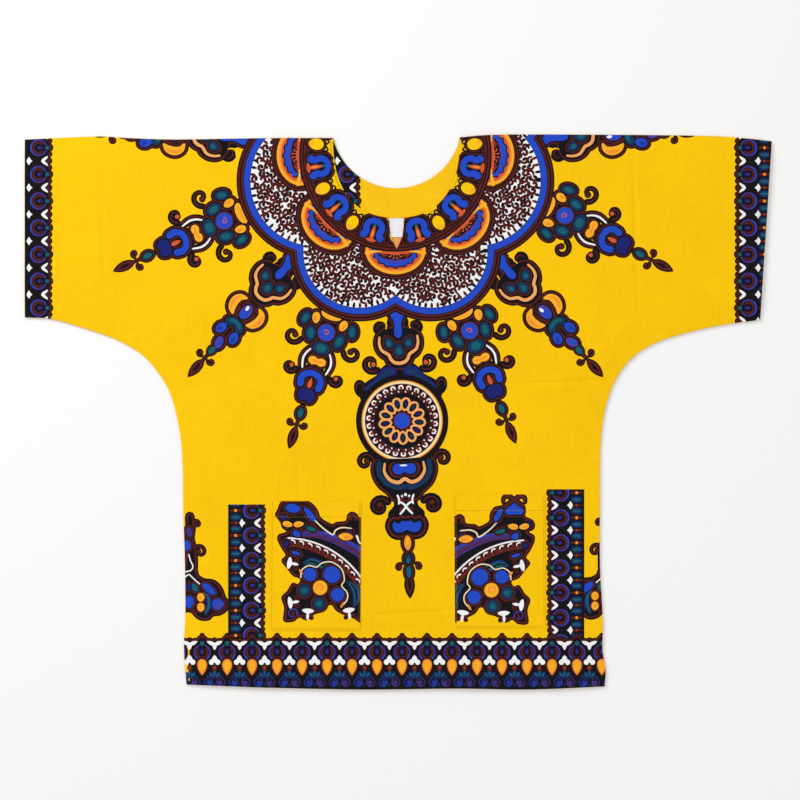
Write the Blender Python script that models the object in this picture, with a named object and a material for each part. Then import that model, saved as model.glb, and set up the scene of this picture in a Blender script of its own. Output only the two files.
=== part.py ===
"""A dashiki shirt laid flat: kimono-cut front and back, neck facing, bare label and two patch pockets.

Each piece of cloth is drafted as an outline in plan, on the pattern's own axes: X runs out from the
centre-front line and Y runs up from the shoulder fold, so everything below the fold is negative. The
outline is filled with triangles, lifted to the height at which that layer lies, and given the
thickness of its cloth. Layers rest on each other from the surface up: back, facing and label, front,
pockets. All sizes are in metres.
"""

import collections
import math

import bmesh
import bpy
import numpy as np
from mathutils import Vector
from mathutils.geometry import delaunay_2d_cdt

# Cloth
WALL = 0.001
SEAM_GAP = 0.0003

# Neck, drafted from the shoulder fold
NECK_HALF_WIDTH = 0.0918
BACK_NECK_DROP = 0.0718
FRONT_NECK_DROP = 0.1145
FRONT_NECK_SQUARENESS = 2.4
NOTCH_HALF_WIDTH = 0.0118
NOTCH_WAIST = 0.0085
NOTCH_WAIST_DROP = 0.0275
NOTCH_DEPTH = 0.0465
FACING_DEPTH = 0.043

# Label hanging from the facing's lower edge
LABEL_WIDTH = 0.021
LABEL_LENGTH = 0.0275

# How the upper layer lies
INNER_RISE = 0.0013
RISE_WIDTH = 0.030
NECK_RISE_REACH = 0.165
NECK_RISE_FADE = 0.035

# Fineness of the faceted cloth
EDGE_STEP = 0.014
ARC_STEPS = 22
FRONT_NET = 0.025
BACK_NET = 0.120

Knot = collections.namedtuple("Knot", "x y")
Fold = collections.namedtuple("Fold", "x y heading length width height")
Pocket = collections.namedtuple("Pocket", "name left right top bottom lean")

# Outer edges, as points that a smooth line joins
SHOULDER_LEFT = (
    Knot(-0.0918, 0.0010),
    Knot(-0.2000, 0.0007),
    Knot(-0.3200, -0.0006),
    Knot(-0.3900, 0.0010),
    Knot(-0.4360, 0.0032),
    Knot(-0.5387, -0.0007),
)
SHOULDER_RIGHT = (
    Knot(0.5438, -0.0036),
    Knot(0.5040, 0.0007),
    Knot(0.4500, 0.0040),
    Knot(0.3000, 0.0058),
    Knot(0.1500, 0.0058),
    Knot(0.0918, 0.0020),
)
UNDERARM_LEFT = (
    Knot(-0.5387, -0.2588),
    Knot(-0.4980, -0.2617),
    Knot(-0.4357, -0.2800),
    Knot(-0.4009, -0.2936),
    Knot(-0.3690, -0.3130),
    Knot(-0.3455, -0.3390),
    Knot(-0.3290, -0.3670),
    Knot(-0.3190, -0.4000),
    Knot(-0.3125, -0.4350),
    Knot(-0.3096, -0.4800),
    Knot(-0.3090, -0.5400),
    Knot(-0.3067, -0.6110),
    Knot(-0.3060, -0.6900),
    Knot(-0.3080, -0.7380),
    Knot(-0.3045, -0.7910),
)
UNDERARM_RIGHT = (
    Knot(0.3016, -0.7938),
    Knot(0.3030, -0.7700),
    Knot(0.2985, -0.7400),
    Knot(0.2990, -0.6980),
    Knot(0.2950, -0.6200),
    Knot(0.2946, -0.5240),
    Knot(0.2950, -0.4600),
    Knot(0.2975, -0.4200),
    Knot(0.3040, -0.3850),
    Knot(0.3180, -0.3480),
    Knot(0.3400, -0.3190),
    Knot(0.3690, -0.2990),
    Knot(0.4100, -0.2840),
    Knot(0.4690, -0.2704),
    Knot(0.5270, -0.2625),
)
HEM = (
    Knot(-0.3045, -0.7910),
    Knot(-0.1900, -0.7953),
    Knot(-0.0500, -0.7982),
    Knot(0.0900, -0.7968),
    Knot(0.1900, -0.7982),
    Knot(0.3016, -0.7938),
)

# Soft ridges that the upper layer keeps: middle, heading in degrees from +X, reach each way, height
FOLDS = (
    Fold(-0.330, -0.300, 128, 0.110, 0.016, 0.0012),
    Fold(-0.270, -0.345, 112, 0.120, 0.018, 0.0010),
    Fold(0.315, -0.290, 55, 0.105, 0.017, 0.0012),
    Fold(0.245, -0.360, 72, 0.130, 0.020, 0.0009),
    Fold(-0.425, -0.130, 88, 0.120, 0.022, 0.0008),
    Fold(0.346, -0.140, 91, 0.130, 0.018, 0.0009),
    Fold(0.246, -0.352, 3, 0.110, 0.020, 0.0007),
    Fold(-0.140, -0.460, 92, 0.160, 0.026, 0.0008),
    Fold(0.020, -0.690, 1, 0.150, 0.020, 0.0008),
    Fold(-0.195, -0.770, 84, 0.060, 0.028, 0.0012),
    Fold(0.105, -0.775, 96, 0.055, 0.032, 0.0010),
    Fold(0.235, -0.765, 88, 0.060, 0.024, 0.0011),
)

POCKETS = (
    Pocket("pocket_left", -0.1820, -0.0515, -0.5250, -0.7115, 0.0010),
    Pocket("pocket_right", 0.0835, 0.2145, -0.5155, -0.7080, -0.0014),
)

# Colour, roughness and metallic value of each piece
CLOTH_YELLOW = (0.98, 0.60, 0.004)
FACING_YELLOW = (0.96, 0.56, 0.004)
LABEL_WHITE = (0.90, 0.90, 0.88)
CLOTH_ROUGHNESS = 0.85
LABEL_ROUGHNESS = 0.55


def smooth_line(knots, step):
    """Points along a Catmull-Rom curve through the knots, about a step apart, both ends included."""
    points = np.array(knots)
    before = 2 * points[0] - points[1]
    after = 2 * points[-1] - points[-2]
    padded = np.vstack([before, points, after])
    line = []
    for start in range(len(points) - 1):
        a, b, c, d = padded[start : start + 4]
        count = max(1, round(np.linalg.norm(c - b) / step))
        t = np.arange(count)[:, None] / count
        bend = 2 * a - 5 * b + 4 * c - d
        twist = 3 * b - a - 3 * c + d
        line.append(b + 0.5 * t * ((c - a) + t * (bend + t * twist)))
    return np.vstack(line + [points[-1:]])


def straight_line(start, end, step):
    """Points on the straight line from start to end, about a step apart, both ends included."""
    count = max(1, round(math.dist(start, end) / step))
    t = np.linspace(0, 1, count + 1)[:, None]
    return np.array(start) * (1 - t) + np.array(end) * t


def back_neck_circle():
    """Height of the centre, and radius, of the arc through both neck points and the back neck's low point."""
    radius = (NECK_HALF_WIDTH**2 + BACK_NECK_DROP**2) / (2 * BACK_NECK_DROP)
    return radius - BACK_NECK_DROP, radius


def back_neck(extra=0.0):
    """The back neckline from right to left, an arc; extra moves it out from the neck."""
    centre, radius = back_neck_circle()
    reach = math.asin(NECK_HALF_WIDTH / radius)
    turn = np.linspace(reach, -reach, ARC_STEPS + 1)
    across = (radius + extra) * np.sin(turn)
    return np.column_stack([across, centre - (radius + extra) * np.cos(turn)])


def front_neck():
    """The front neckline from right to left: a squared ellipse with a V notch at its low point."""
    turn = np.linspace(0, math.pi / 2, ARC_STEPS + 1)
    power = 2 / FRONT_NECK_SQUARENESS
    across = NECK_HALF_WIDTH * np.cos(turn) ** power
    drop = FRONT_NECK_DROP * np.sin(turn) ** power
    keep = across > NOTCH_HALF_WIDTH * 1.3
    right = np.column_stack([across[keep], -drop[keep]])
    corner = (NOTCH_HALF_WIDTH, -FRONT_NECK_DROP - 0.0012)
    waist = (NOTCH_WAIST, -FRONT_NECK_DROP - NOTCH_WAIST_DROP)
    tip = (0.0, -FRONT_NECK_DROP - NOTCH_DEPTH)
    right = np.vstack([right, [corner, waist]])
    left = (right * [-1, 1])[::-1]
    return np.vstack([right, [tip], left])


def closed(*stretches):
    """One outline from stretches that each start where the last one ended."""
    return np.vstack([stretch[:-1] for stretch in stretches])


def body_outline(neckline):
    """The kimono-cut panel, anticlockwise from its left hem corner, with the given neckline."""
    right_neck = np.vstack([[SHOULDER_RIGHT[-1]], neckline[1:-1], [SHOULDER_LEFT[0]]])
    return closed(
        smooth_line(HEM, EDGE_STEP),
        smooth_line(UNDERARM_RIGHT, EDGE_STEP),
        straight_line(UNDERARM_RIGHT[-1], SHOULDER_RIGHT[0], EDGE_STEP * 2),
        smooth_line(SHOULDER_RIGHT, EDGE_STEP * 2),
        right_neck,
        smooth_line(SHOULDER_LEFT, EDGE_STEP * 2),
        straight_line(SHOULDER_LEFT[-1], UNDERARM_LEFT[0], EDGE_STEP * 2),
        smooth_line(UNDERARM_LEFT, EDGE_STEP),
    )


def facing_outline():
    """A band along the back neckline, as deep as the facing, that ends at the shoulder fold."""
    inner = back_neck()
    outer = back_neck(FACING_DEPTH)
    below = outer[:, 1] < 0
    outer = outer[below]
    fold_right = (outer[0][0] + 0.003, 0.0)
    fold_left = (outer[-1][0] - 0.003, 0.0)
    return np.vstack([inner[:1], inner[1:-1], inner[-1:], [fold_left], outer[::-1], [fold_right]])


def label_outline():
    """A small upright rectangle under the middle of the facing."""
    centre, radius = back_neck_circle()
    top = centre - radius - FACING_DEPTH - SEAM_GAP
    half = LABEL_WIDTH / 2
    bottom = top - LABEL_LENGTH
    return np.array([(-half, bottom), (half, bottom), (half, top), (-half, top)])


def pocket_outline(pocket):
    """A rectangle that leans by its own small offset from bottom to top."""
    return np.array(
        [
            (pocket.left - pocket.lean, pocket.bottom),
            (pocket.right - pocket.lean, pocket.bottom),
            (pocket.right, pocket.top),
            (pocket.left, pocket.top),
        ]
    )


def edge_distance(points, line):
    """Distance from each point to the nearest straight stretch of an open line."""
    start = line[:-1]
    run = line[1:] - start
    away = points[:, None] - start[None]
    along = np.clip((away * run).sum(2) / (run**2).sum(1), 0, 1)
    return np.sqrt(((away - along[..., None] * run) ** 2).sum(2)).min(1)


def grid_points(outline, spacing):
    """Staggered points over the outline's box, without those close to its edge."""
    low = outline.min(0)
    high = outline.max(0)
    x = np.arange(low[0], high[0], spacing)
    y = np.arange(low[1], high[1], spacing * math.sqrt(0.75))
    grid_x, grid_y = np.meshgrid(x, y)
    grid_x[1::2] += spacing / 2
    points = np.column_stack([grid_x.ravel(), grid_y.ravel()])
    ring = np.vstack([outline, outline[:1]])
    return points[edge_distance(points, ring) > spacing * 0.45]


def net(outlines, spacing):
    """Triangles that fill the first outline, and for each outline the list of triangles inside it."""
    points = []
    rings = []
    for outline in outlines:
        rings.append(list(range(len(points), len(points) + len(outline))))
        points.extend(outline.tolist())
    loose = grid_points(outlines[0], spacing)
    for outline in outlines[1:]:
        ring = np.vstack([outline, outline[:1]])
        loose = loose[edge_distance(loose, ring) > spacing * 0.3]
    points.extend(loose.tolist())
    flat = [Vector(point) for point in points]
    verts, _, faces, _, _, inside = delaunay_2d_cdt(flat, [], rings, 1, 1e-7)
    plan = np.array([tuple(vert) for vert in verts])
    groups = []
    for index in range(len(outlines)):
        groups.append([face for face, owners in zip(faces, inside) if index in owners])
    return plan, groups


def smoothstep(t):
    """0 below 0, 1 above 1, with a soft start and end between."""
    t = np.clip(t, 0, 1)
    return t * t * (3 - 2 * t)


def fold_height(plan):
    """Sum of the soft ridges, each a bell across its heading that fades out along it."""
    total = np.zeros(len(plan))
    for fold in FOLDS:
        heading = math.radians(fold.heading)
        along = (plan - [fold.x, fold.y]) @ [math.cos(heading), math.sin(heading)]
        across = (plan - [fold.x, fold.y]) @ [-math.sin(heading), math.cos(heading)]
        fade = 1 - smoothstep(np.abs(along) / fold.length)
        total += fold.height * fade * np.exp(-((across / fold.width) ** 2))
    return total


def front_underside(plan):
    """Height of the front's lower face: near the back at seams and folds, and clear of the facing."""
    seams = [
        smooth_line(UNDERARM_LEFT, EDGE_STEP),
        smooth_line(UNDERARM_RIGHT, EDGE_STEP),
        smooth_line(SHOULDER_LEFT, EDGE_STEP * 2),
        smooth_line(SHOULDER_RIGHT, EDGE_STEP * 2),
    ]
    away = np.min([edge_distance(plan, seam) for seam in seams], axis=0)
    body = smoothstep(away / RISE_WIDTH)
    centre, _ = back_neck_circle()
    from_neck = np.hypot(plan[:, 0], plan[:, 1] - centre)
    neck = 1 - smoothstep((from_neck - NECK_RISE_REACH) / NECK_RISE_FADE)
    rise = INNER_RISE * np.maximum(body, neck)
    return WALL + SEAM_GAP + rise + body * fold_height(plan)


def cloth_material(name, colour, roughness):
    """A plain cloth finish."""
    material = bpy.data.materials.new(name)
    material.use_nodes = True
    shader = material.node_tree.nodes["Principled BSDF"]
    shader.inputs["Base Color"].default_value = (*colour, 1)
    shader.inputs["Roughness"].default_value = roughness
    shader.inputs["Metallic"].default_value = 0
    material.diffuse_color = (*colour, 1)
    return material


def cloth_wall(name, plan, faces, height, colour, roughness):
    """One piece of cloth: its triangles at the given heights, extruded up by the wall."""
    used = sorted({corner for face in faces for corner in face})
    build = bmesh.new()
    verts = {i: build.verts.new((*(plan[i] + PATTERN_TO_ORIGIN), height[i])) for i in used}
    for face in faces:
        build.faces.new([verts[corner] for corner in face])
    raised = bmesh.ops.extrude_face_region(build, geom=build.faces[:])["geom"]
    upper = [item for item in raised if isinstance(item, bmesh.types.BMVert)]
    bmesh.ops.translate(build, verts=upper, vec=(0, 0, WALL))
    bmesh.ops.recalc_face_normals(build, faces=build.faces[:])
    mesh = bpy.data.meshes.new(name)
    build.to_mesh(mesh)
    build.free()
    mesh.shade_smooth()
    mesh.set_sharp_from_angle(angle=math.radians(40))
    mesh.materials.append(cloth_material(name, colour, roughness))
    piece = bpy.data.objects.new(name, mesh)
    bpy.context.scene.collection.objects.link(piece)
    return piece


def origin_shift():
    """The move that puts the middle of the laid-out shirt's plan at the origin."""
    outline = body_outline(back_neck())
    return -(outline.min(0) + outline.max(0)) / 2


def make_back():
    """The back panel, flat on the surface."""
    plan, (faces,) = net([body_outline(back_neck())], BACK_NET)
    height = np.zeros(len(plan))
    cloth_wall("back", plan, faces, height, CLOTH_YELLOW, CLOTH_ROUGHNESS)


def make_neck_pieces():
    """The facing round the back neck and the bare label at its lower edge, both on the back's inside."""
    layer = WALL + SEAM_GAP
    plan, (faces,) = net([facing_outline()], BACK_NET)
    height = np.full(len(plan), layer)
    cloth_wall("back_neck_facing", plan, faces, height, FACING_YELLOW, CLOTH_ROUGHNESS)
    plan, (faces,) = net([label_outline()], BACK_NET)
    height = np.full(len(plan), layer)
    cloth_wall("label", plan, faces, height, LABEL_WHITE, LABEL_ROUGHNESS)


def make_front_and_pockets():
    """The front panel over the other layers, and the pockets made from its own points, moved out."""
    outlines = [body_outline(front_neck())] + [pocket_outline(pocket) for pocket in POCKETS]
    plan, groups = net(outlines, FRONT_NET)
    height = front_underside(plan)
    cloth_wall("front", plan, groups[0], height, CLOTH_YELLOW, CLOTH_ROUGHNESS)
    for pocket, faces in zip(POCKETS, groups[1:]):
        above = height + WALL + SEAM_GAP
        cloth_wall(pocket.name, plan, faces, above, CLOTH_YELLOW, CLOTH_ROUGHNESS)


for leftover in list(bpy.data.objects):
    bpy.data.objects.remove(leftover)
PATTERN_TO_ORIGIN = origin_shift()
make_back()
make_neck_pieces()
make_front_and_pockets()
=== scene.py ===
"""A dashiki shirt laid flat on a pale floor, seen from straight above.

The cloth is cut along the edges of its print: every motif is drafted as flat coloured outlines, in
millimetres, and the panel's surface is divided along them, so that each facet has one dye. The panels
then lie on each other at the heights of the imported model: back, facing and label, front, pockets.
"""

from __future__ import annotations

import logging
import math
from collections.abc import Callable, Sequence
from dataclasses import dataclass, field
from enum import Enum, IntEnum

import bmesh
import bpy
import numpy as np
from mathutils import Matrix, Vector
from mathutils.geometry import delaunay_2d_cdt
from numpy.typing import NDArray


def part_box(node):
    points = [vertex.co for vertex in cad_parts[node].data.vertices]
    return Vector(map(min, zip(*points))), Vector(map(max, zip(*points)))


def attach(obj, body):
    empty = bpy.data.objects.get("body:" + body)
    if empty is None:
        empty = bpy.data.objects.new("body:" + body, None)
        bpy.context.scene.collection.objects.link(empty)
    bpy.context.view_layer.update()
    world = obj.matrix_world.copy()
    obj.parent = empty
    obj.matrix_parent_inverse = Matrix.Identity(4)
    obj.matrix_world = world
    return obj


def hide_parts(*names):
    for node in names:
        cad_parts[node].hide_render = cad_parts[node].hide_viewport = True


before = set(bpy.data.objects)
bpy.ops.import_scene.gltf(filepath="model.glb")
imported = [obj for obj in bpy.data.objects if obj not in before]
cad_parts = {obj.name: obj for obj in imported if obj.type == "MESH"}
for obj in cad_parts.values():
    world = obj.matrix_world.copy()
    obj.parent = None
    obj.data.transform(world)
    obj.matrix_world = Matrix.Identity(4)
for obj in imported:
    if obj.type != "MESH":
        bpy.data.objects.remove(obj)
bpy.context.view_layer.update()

logging.basicConfig(level=logging.INFO, format="%(message)s")
log = logging.getLogger("dashiki")

Array = NDArray[np.float64]
Numbers = NDArray[np.int64]
Piece = bpy.types.Object
Knots = Sequence[tuple[float, float]]
Height = Callable[[Array], Array]
MM = 0.001


class Ink(Enum):
    """The print's dyes, as scene-linear colours."""

    GROUND = (1.0, 0.585, 0.001)
    BLACK = (0.006, 0.005, 0.007)
    BROWN = (0.115, 0.014, 0.009)
    ORANGE = (0.93, 0.3, 0.03)
    AMBER = (0.99, 0.44, 0.02)
    EMBER = (0.66, 0.1, 0.03)
    BLUE = (0.016, 0.068, 0.56)
    NAVY = (0.012, 0.016, 0.16)
    VIOLET = (0.08, 0.05, 0.33)
    TEAL = (0.006, 0.115, 0.15)
    DEEP = (0.008, 0.035, 0.1)
    WHITE = (0.92, 0.92, 0.93)
    CREAM = (0.93, 0.78, 0.5)
    PEACH = (0.92, 0.4, 0.12)
    PLUM = (0.055, 0.03, 0.21)
    RUST = (0.33, 0.045, 0.022)
    MAROON = (0.075, 0.01, 0.009)
    INDIGO = (0.014, 0.04, 0.33)


BLACK, BROWN, WHITE = Ink.BLACK, Ink.BROWN, Ink.WHITE
BLUE, TEAL, AMBER = Ink.BLUE, Ink.TEAL, Ink.AMBER
DEEP, NAVY, ORANGE = Ink.DEEP, Ink.NAVY, Ink.ORANGE


class Layer(IntEnum):
    """The order in which a motif's colours are laid down."""

    OUTER = 0
    LINE = 1
    INNER = 2
    FILL = 3
    DETAIL = 4
    ACCENT = 5


OUTER, LINE, INNER = Layer.OUTER, Layer.LINE, Layer.INNER
FILL, DETAIL, ACCENT = Layer.FILL, Layer.DETAIL, Layer.ACCENT


@dataclass(frozen=True)
class Rims:
    """How far each outline of a motif stands out from its fill, in millimetres."""

    outer: float = 5.6
    line: float = 3.7
    inner: float = 2.1


RIMS = Rims()
FINE = Rims(3.9, 2.6, 1.4)


def turned(points: Array, degrees: float) -> Array:
    """Points turned anticlockwise about the origin.

    Args:
        points: the points.
        degrees: the angle.

    Returns:
        The turned points.
    """
    angle = math.radians(degrees)
    spin = np.array([[math.cos(angle), math.sin(angle)], [-math.sin(angle), math.cos(angle)]])
    return points @ spin


def seed(
    x: float, y: float, length: float, width: float, turn: float = 0.0, tip: float = 0.0, tail: float = 0.0,
    n: int = 24,
) -> Array:
    """A closed seed: an ellipse whose ends narrow to points as tip and tail grow from 0.

    Args:
        x: its middle, across.
        y: its middle, down.
        length: its size along its axis.
        width: its size across its axis.
        turn: the axis's angle.
        tip: how sharp the far end is.
        tail: how sharp the near end is.
        n: how many points it has.

    Returns:
        The outline.
    """
    t = np.linspace(0, 2 * math.pi, n, endpoint=False)
    swell = np.sin(t) * np.abs(np.sin(t / 2)) ** tip * np.abs(np.cos(t / 2)) ** tail
    across = width / 2 * swell / np.abs(swell).max()
    body = np.column_stack([length / 2 * np.cos(t), across])
    return turned(body, turn) + [x, y]


def disc(x: float, y: float, radius: float, n: int = 20) -> Array:
    """A round dot."""
    return seed(x, y, 2 * radius, 2 * radius, n=n)


def smooth(points: Knots | Array, step: float = 2.4, closed: bool = False) -> Array:
    """Points along a Catmull-Rom curve: a cubic between each two knots, sloped by the knots either side.

    Args:
        points: the knots.
        step: the rough distance between points.
        closed: whether the last knot leads back to the first.

    Returns:
        The curve's points.
    """
    knots = np.array(points, float)
    if closed:
        padded = np.vstack([knots[-1:], knots, knots[:2]])
    else:
        padded = np.vstack([2 * knots[0] - knots[1], knots, 2 * knots[-1] - knots[-2]])
    line = []
    for a, b, c, d in zip(padded, padded[1:], padded[2:], padded[3:]):
        count = max(1, round(math.dist(b, c) / step))
        t = np.arange(count)[:, None] / count
        bend = 2 * a - 5 * b + 4 * c - d
        twist = 3 * b - a - 3 * c + d
        line.append(b + 0.5 * t * ((c - a) + t * (bend + t * twist)))
    return np.vstack(line if closed else line + [knots[-1:]])


def ribbon(path: Array, start: float, end: float, middle: float | None = None) -> Array:
    """A stroke along a path, with round caps. Its width is the parabola through its three given widths.

    Args:
        path: the stroke's middle line.
        start: the width where it begins.
        end: the width where it ends.
        middle: the width half way, or none for the mean of the other two.

    Returns:
        The outline.
    """
    run = np.gradient(path, axis=0)
    run /= np.linalg.norm(run, axis=1)[:, None]
    side = np.column_stack([-run[:, 1], run[:, 0]])
    t = np.linspace(0, 1, len(path))[:, None]
    mid = (start + end) / 2 if middle is None else middle
    width = start * (1 - t) * (1 - 2 * t) + 4 * mid * t * (1 - t) + end * t * (2 * t - 1)
    half = np.maximum(width, 0.2) / 2
    cap = np.linspace(0, math.pi, 5)[1:-1, None]
    nose = path[-1] + half[-1] * (side[-1] * np.cos(cap) + run[-1] * np.sin(cap))
    tail = path[0] - half[0] * (side[0] * np.cos(cap) + run[0] * np.sin(cap))
    return np.vstack([path + side * half, nose, (path - side * half)[::-1], tail])


def spiral(
    x: float, y: float, radius: float, start: float, sweep: float, tighten: float = 0.75, n: int = 18
) -> Array:
    """A path that winds in about a centre: its radius shrinks by the given share over its sweep.

    Args:
        x: its centre, across.
        y: its centre, down.
        radius: its first radius.
        start: its first angle.
        sweep: the angle that it winds through.
        tighten: the share of the radius that it loses.
        n: how many points it has.

    Returns:
        The path.
    """
    s = np.linspace(0, 1, n)
    angle = np.radians(start + sweep * s)
    reach = radius * (1 - tighten * s**0.9)
    return np.column_stack([x + reach * np.cos(angle), y + reach * np.sin(angle)])


def grown(points: Array, by: float) -> Array:
    """An outline moved out along its mitred normals, turned anticlockwise first.

    Args:
        points: the closed outline.
        by: how far it moves, inwards where negative.

    Returns:
        The moved outline.
    """
    x, y = points.T
    if (x * np.roll(y, -1) - y * np.roll(x, -1)).sum() < 0:
        points = points[::-1]
    ahead = np.roll(points, -1, 0) - points
    ahead = ahead / np.maximum(np.linalg.norm(ahead, axis=1), 1e-9)[:, None]
    normal = np.column_stack([ahead[:, 1], -ahead[:, 0]])
    mean = normal + np.roll(normal, 1, 0)
    square = np.maximum((mean**2).sum(1), 1.6)[:, None]
    return points + by * 2 * mean / square


def even(knots: Knots, step: float = 2.4) -> Array:
    """A smooth half outline, from top to bottom on the right of the axis, closed by its mirror image."""
    half = smooth(knots, step)
    return np.vstack([half, half[::-1] * [-1, 1]])


@dataclass
class Draft:
    """A drawing in flat colours: closed outlines, each with its ink and its layer."""

    forms: list[tuple[int, Array, Ink]] = field(default_factory=list)

    def add(self, points: Array, ink: Ink, layer: int = DETAIL) -> Draft:
        """Lays one shape of flat colour on a layer."""
        self.forms.append((layer, points, ink))
        return self

    def top(self, points: Array, ink: Ink) -> Draft:
        """Lays one shape of flat colour over the rest."""
        return self.add(points, ink, ACCENT)

    def edge(self, points: Array, outer: float, line: float, inner: float) -> Draft:
        """Lays the print's three outlines round a shape: black, a brown line and black.

        Args:
            points: the shape.
            outer: how far the outer black stands out from it.
            line: how far the brown line does.
            inner: how far the inner black does.

        Returns:
            This drawing.
        """
        self.add(grown(points, outer), BLACK, OUTER)
        self.add(grown(points, line), BROWN, LINE)
        return self.add(grown(points, inner), BLACK, INNER)

    def rim(self, points: Array, ink: Ink, rims: Rims = RIMS) -> Draft:
        """Lays a shape inside the print's three outlines."""
        return self.edge(points, rims.outer, rims.line, rims.inner).add(points, ink, FILL)

    def leaf(self, points: Array, ink: Ink, line: float, inner: float, layer: int = DETAIL) -> Draft:
        """Lays a shape inside a brown line and a black one.

        Args:
            points: the shape.
            ink: its dye.
            line: how far the brown line stands out from it.
            inner: how far the black one does.
            layer: the shape's own layer.

        Returns:
            This drawing.
        """
        self.add(grown(points, line), BROWN, FILL)
        self.add(grown(points, inner), BLACK, DETAIL)
        return self.add(points, ink, layer)

    def rings(self, x: float, y: float, count: int, layer: int, *rings: tuple[float, Ink]) -> Draft:
        """Lays discs about one middle, each on the one before.

        Args:
            x: its middle, across.
            y: its middle, down.
            count: how many points each disc has.
            layer: their layer.
            rings: the radius and the dye of each.

        Returns:
            This drawing.
        """
        for radius, ink in rings:
            self.add(disc(x, y, radius, count), ink, layer)
        return self

    def join(self, other: Draft) -> Draft:
        """Adds another drawing's shapes."""
        self.forms.extend(other.forms)
        return self

    def moved(self, x: float = 0.0, y: float = 0.0, turn: float = 0.0, lift: int = 0) -> Draft:
        """A copy that is turned, then moved, and lifted by some layers."""
        return Draft([(layer + lift, turned(p, turn) + [x, y], ink) for layer, p, ink in self.forms])

    def mirrored(self) -> Draft:
        """A copy reflected in the axis."""
        return Draft([(layer, p * [-1, 1], ink) for layer, p, ink in self.forms])

    def paired(self) -> Draft:
        """This drawing with its mirror image."""
        return Draft(self.forms + self.mirrored().forms)

    def ordered(self) -> list[tuple[int, Array, Ink]]:
        """The shapes from the first laid to the last."""
        return sorted(self.forms, key=lambda form: form[0])


def curl(
    x: float, y: float, radius: float, start: float, sweep: float, thick: float = 7.0, ball: Ink = Ink.EMBER
) -> Draft:
    """A scroll: a black stroke with a brown line in it that winds in to a ball.

    Args:
        x: its middle, across.
        y: its middle, down.
        radius: its first radius.
        start: its first angle.
        sweep: the angle that it winds through.
        thick: the stroke's width.
        ball: the dye at its end.

    Returns:
        The drawing.
    """
    path = spiral(x, y, radius, start, sweep)
    art = Draft()
    art.add(ribbon(path, thick * 1.15, thick * 0.8), BLACK, OUTER)
    art.add(ribbon(path, 1.8, 1.5), BROWN, LINE)
    art.add(disc(*path[-1], thick * 0.62, 12), BLACK, OUTER)
    return art.add(disc(*path[-1], thick * 0.36, 10), ball, LINE)


def tip(y: float) -> Draft:
    """The pendants' last part: a stem, two small curls and a pointed brown leaf.

    Args:
        y: where the curls are.

    Returns:
        The drawing.
    """
    art = Draft()
    stem = smooth([(0, y - 9), (0, y), (0, y + 9)], 4)
    art.add(ribbon(stem, 7, 5.5), BLACK, OUTER)
    art.add(ribbon(stem, 2.2, 1.8), BROWN, LINE)
    art.join(curl(10.5, y - 0.5, 5.4, 150, -290, 5.2, BROWN).paired())
    return art.edge(seed(0, y + 21, 30, 11, 90, 0.9, 0.6), 2.0, -0.2, -3.2)


def palmette() -> Draft:
    """A blue key under the yoke's point, three drops and a scalloped orange line round them.

    Returns:
        The drawing.
    """
    art = Draft()
    key = even([
        (0.1, 15.5), (6.2, 16.4), (10.4, 21.5), (9.8, 28), (6.4, 34), (5.0, 42), (5.8, 50), (4.6, 57),
        (0.1, 60),
    ])
    art.rim(key, BLUE)
    half = [
        (0.1, 46), (14, 47), (25, 51), (31.5, 60), (31.5, 73), (25.5, 83.5), (19, 88), (15.5, 95), (9, 101)
    ]
    shell = even([*half, (0.1, 103)], 2.5)
    art.edge(shell, 5.2, 3.0, 1.3)
    rim_line = smooth([
        (27.5, 58), (28.2, 67), (25.5, 76), (20, 80.5), (15, 84), (12.4, 90), (7.4, 95), (0, 96.6)
    ])
    line = np.vstack([rim_line, (rim_line * [-1, 1])[::-1][1:]])
    art.add(ribbon(line, 3.2, 3.2, 4.8), Ink.PEACH)
    for x, y, length, width, turn in ((0, 77, 20, 15, 90), (-14.5, 66, 17, 13, 62), (14.5, 66, 17, 13, 118)):
        drop = seed(x, y, length, width, turn + 180, 0.7)
        art.leaf(drop, DEEP, 3.2, 1.6, ACCENT)
        art.top(seed(x, y + 1.5, length * 0.5, width * 0.5, turn + 180, 0.5, n=12), TEAL)
    comma = Draft()
    comma.add(disc(25, 45, 11.4, 24), BLACK, OUTER)
    comma.add(ribbon(spiral(25, 45, 9.2, 80, 290, 0.45), 1.8, 1.5), BROWN, LINE)
    comma.add(
        ribbon(smooth([(37, 31), (28, 32.5), (20, 34.5), (16.4, 40), (17.6, 46)]), 4.2, 1.4), Ink.GROUND,
        INNER,
    )
    art.join(comma.paired())
    art.add(seed(0, 42, 46, 33, 90, 0.2, 0.2, 28), BLACK, OUTER)
    return art


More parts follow.
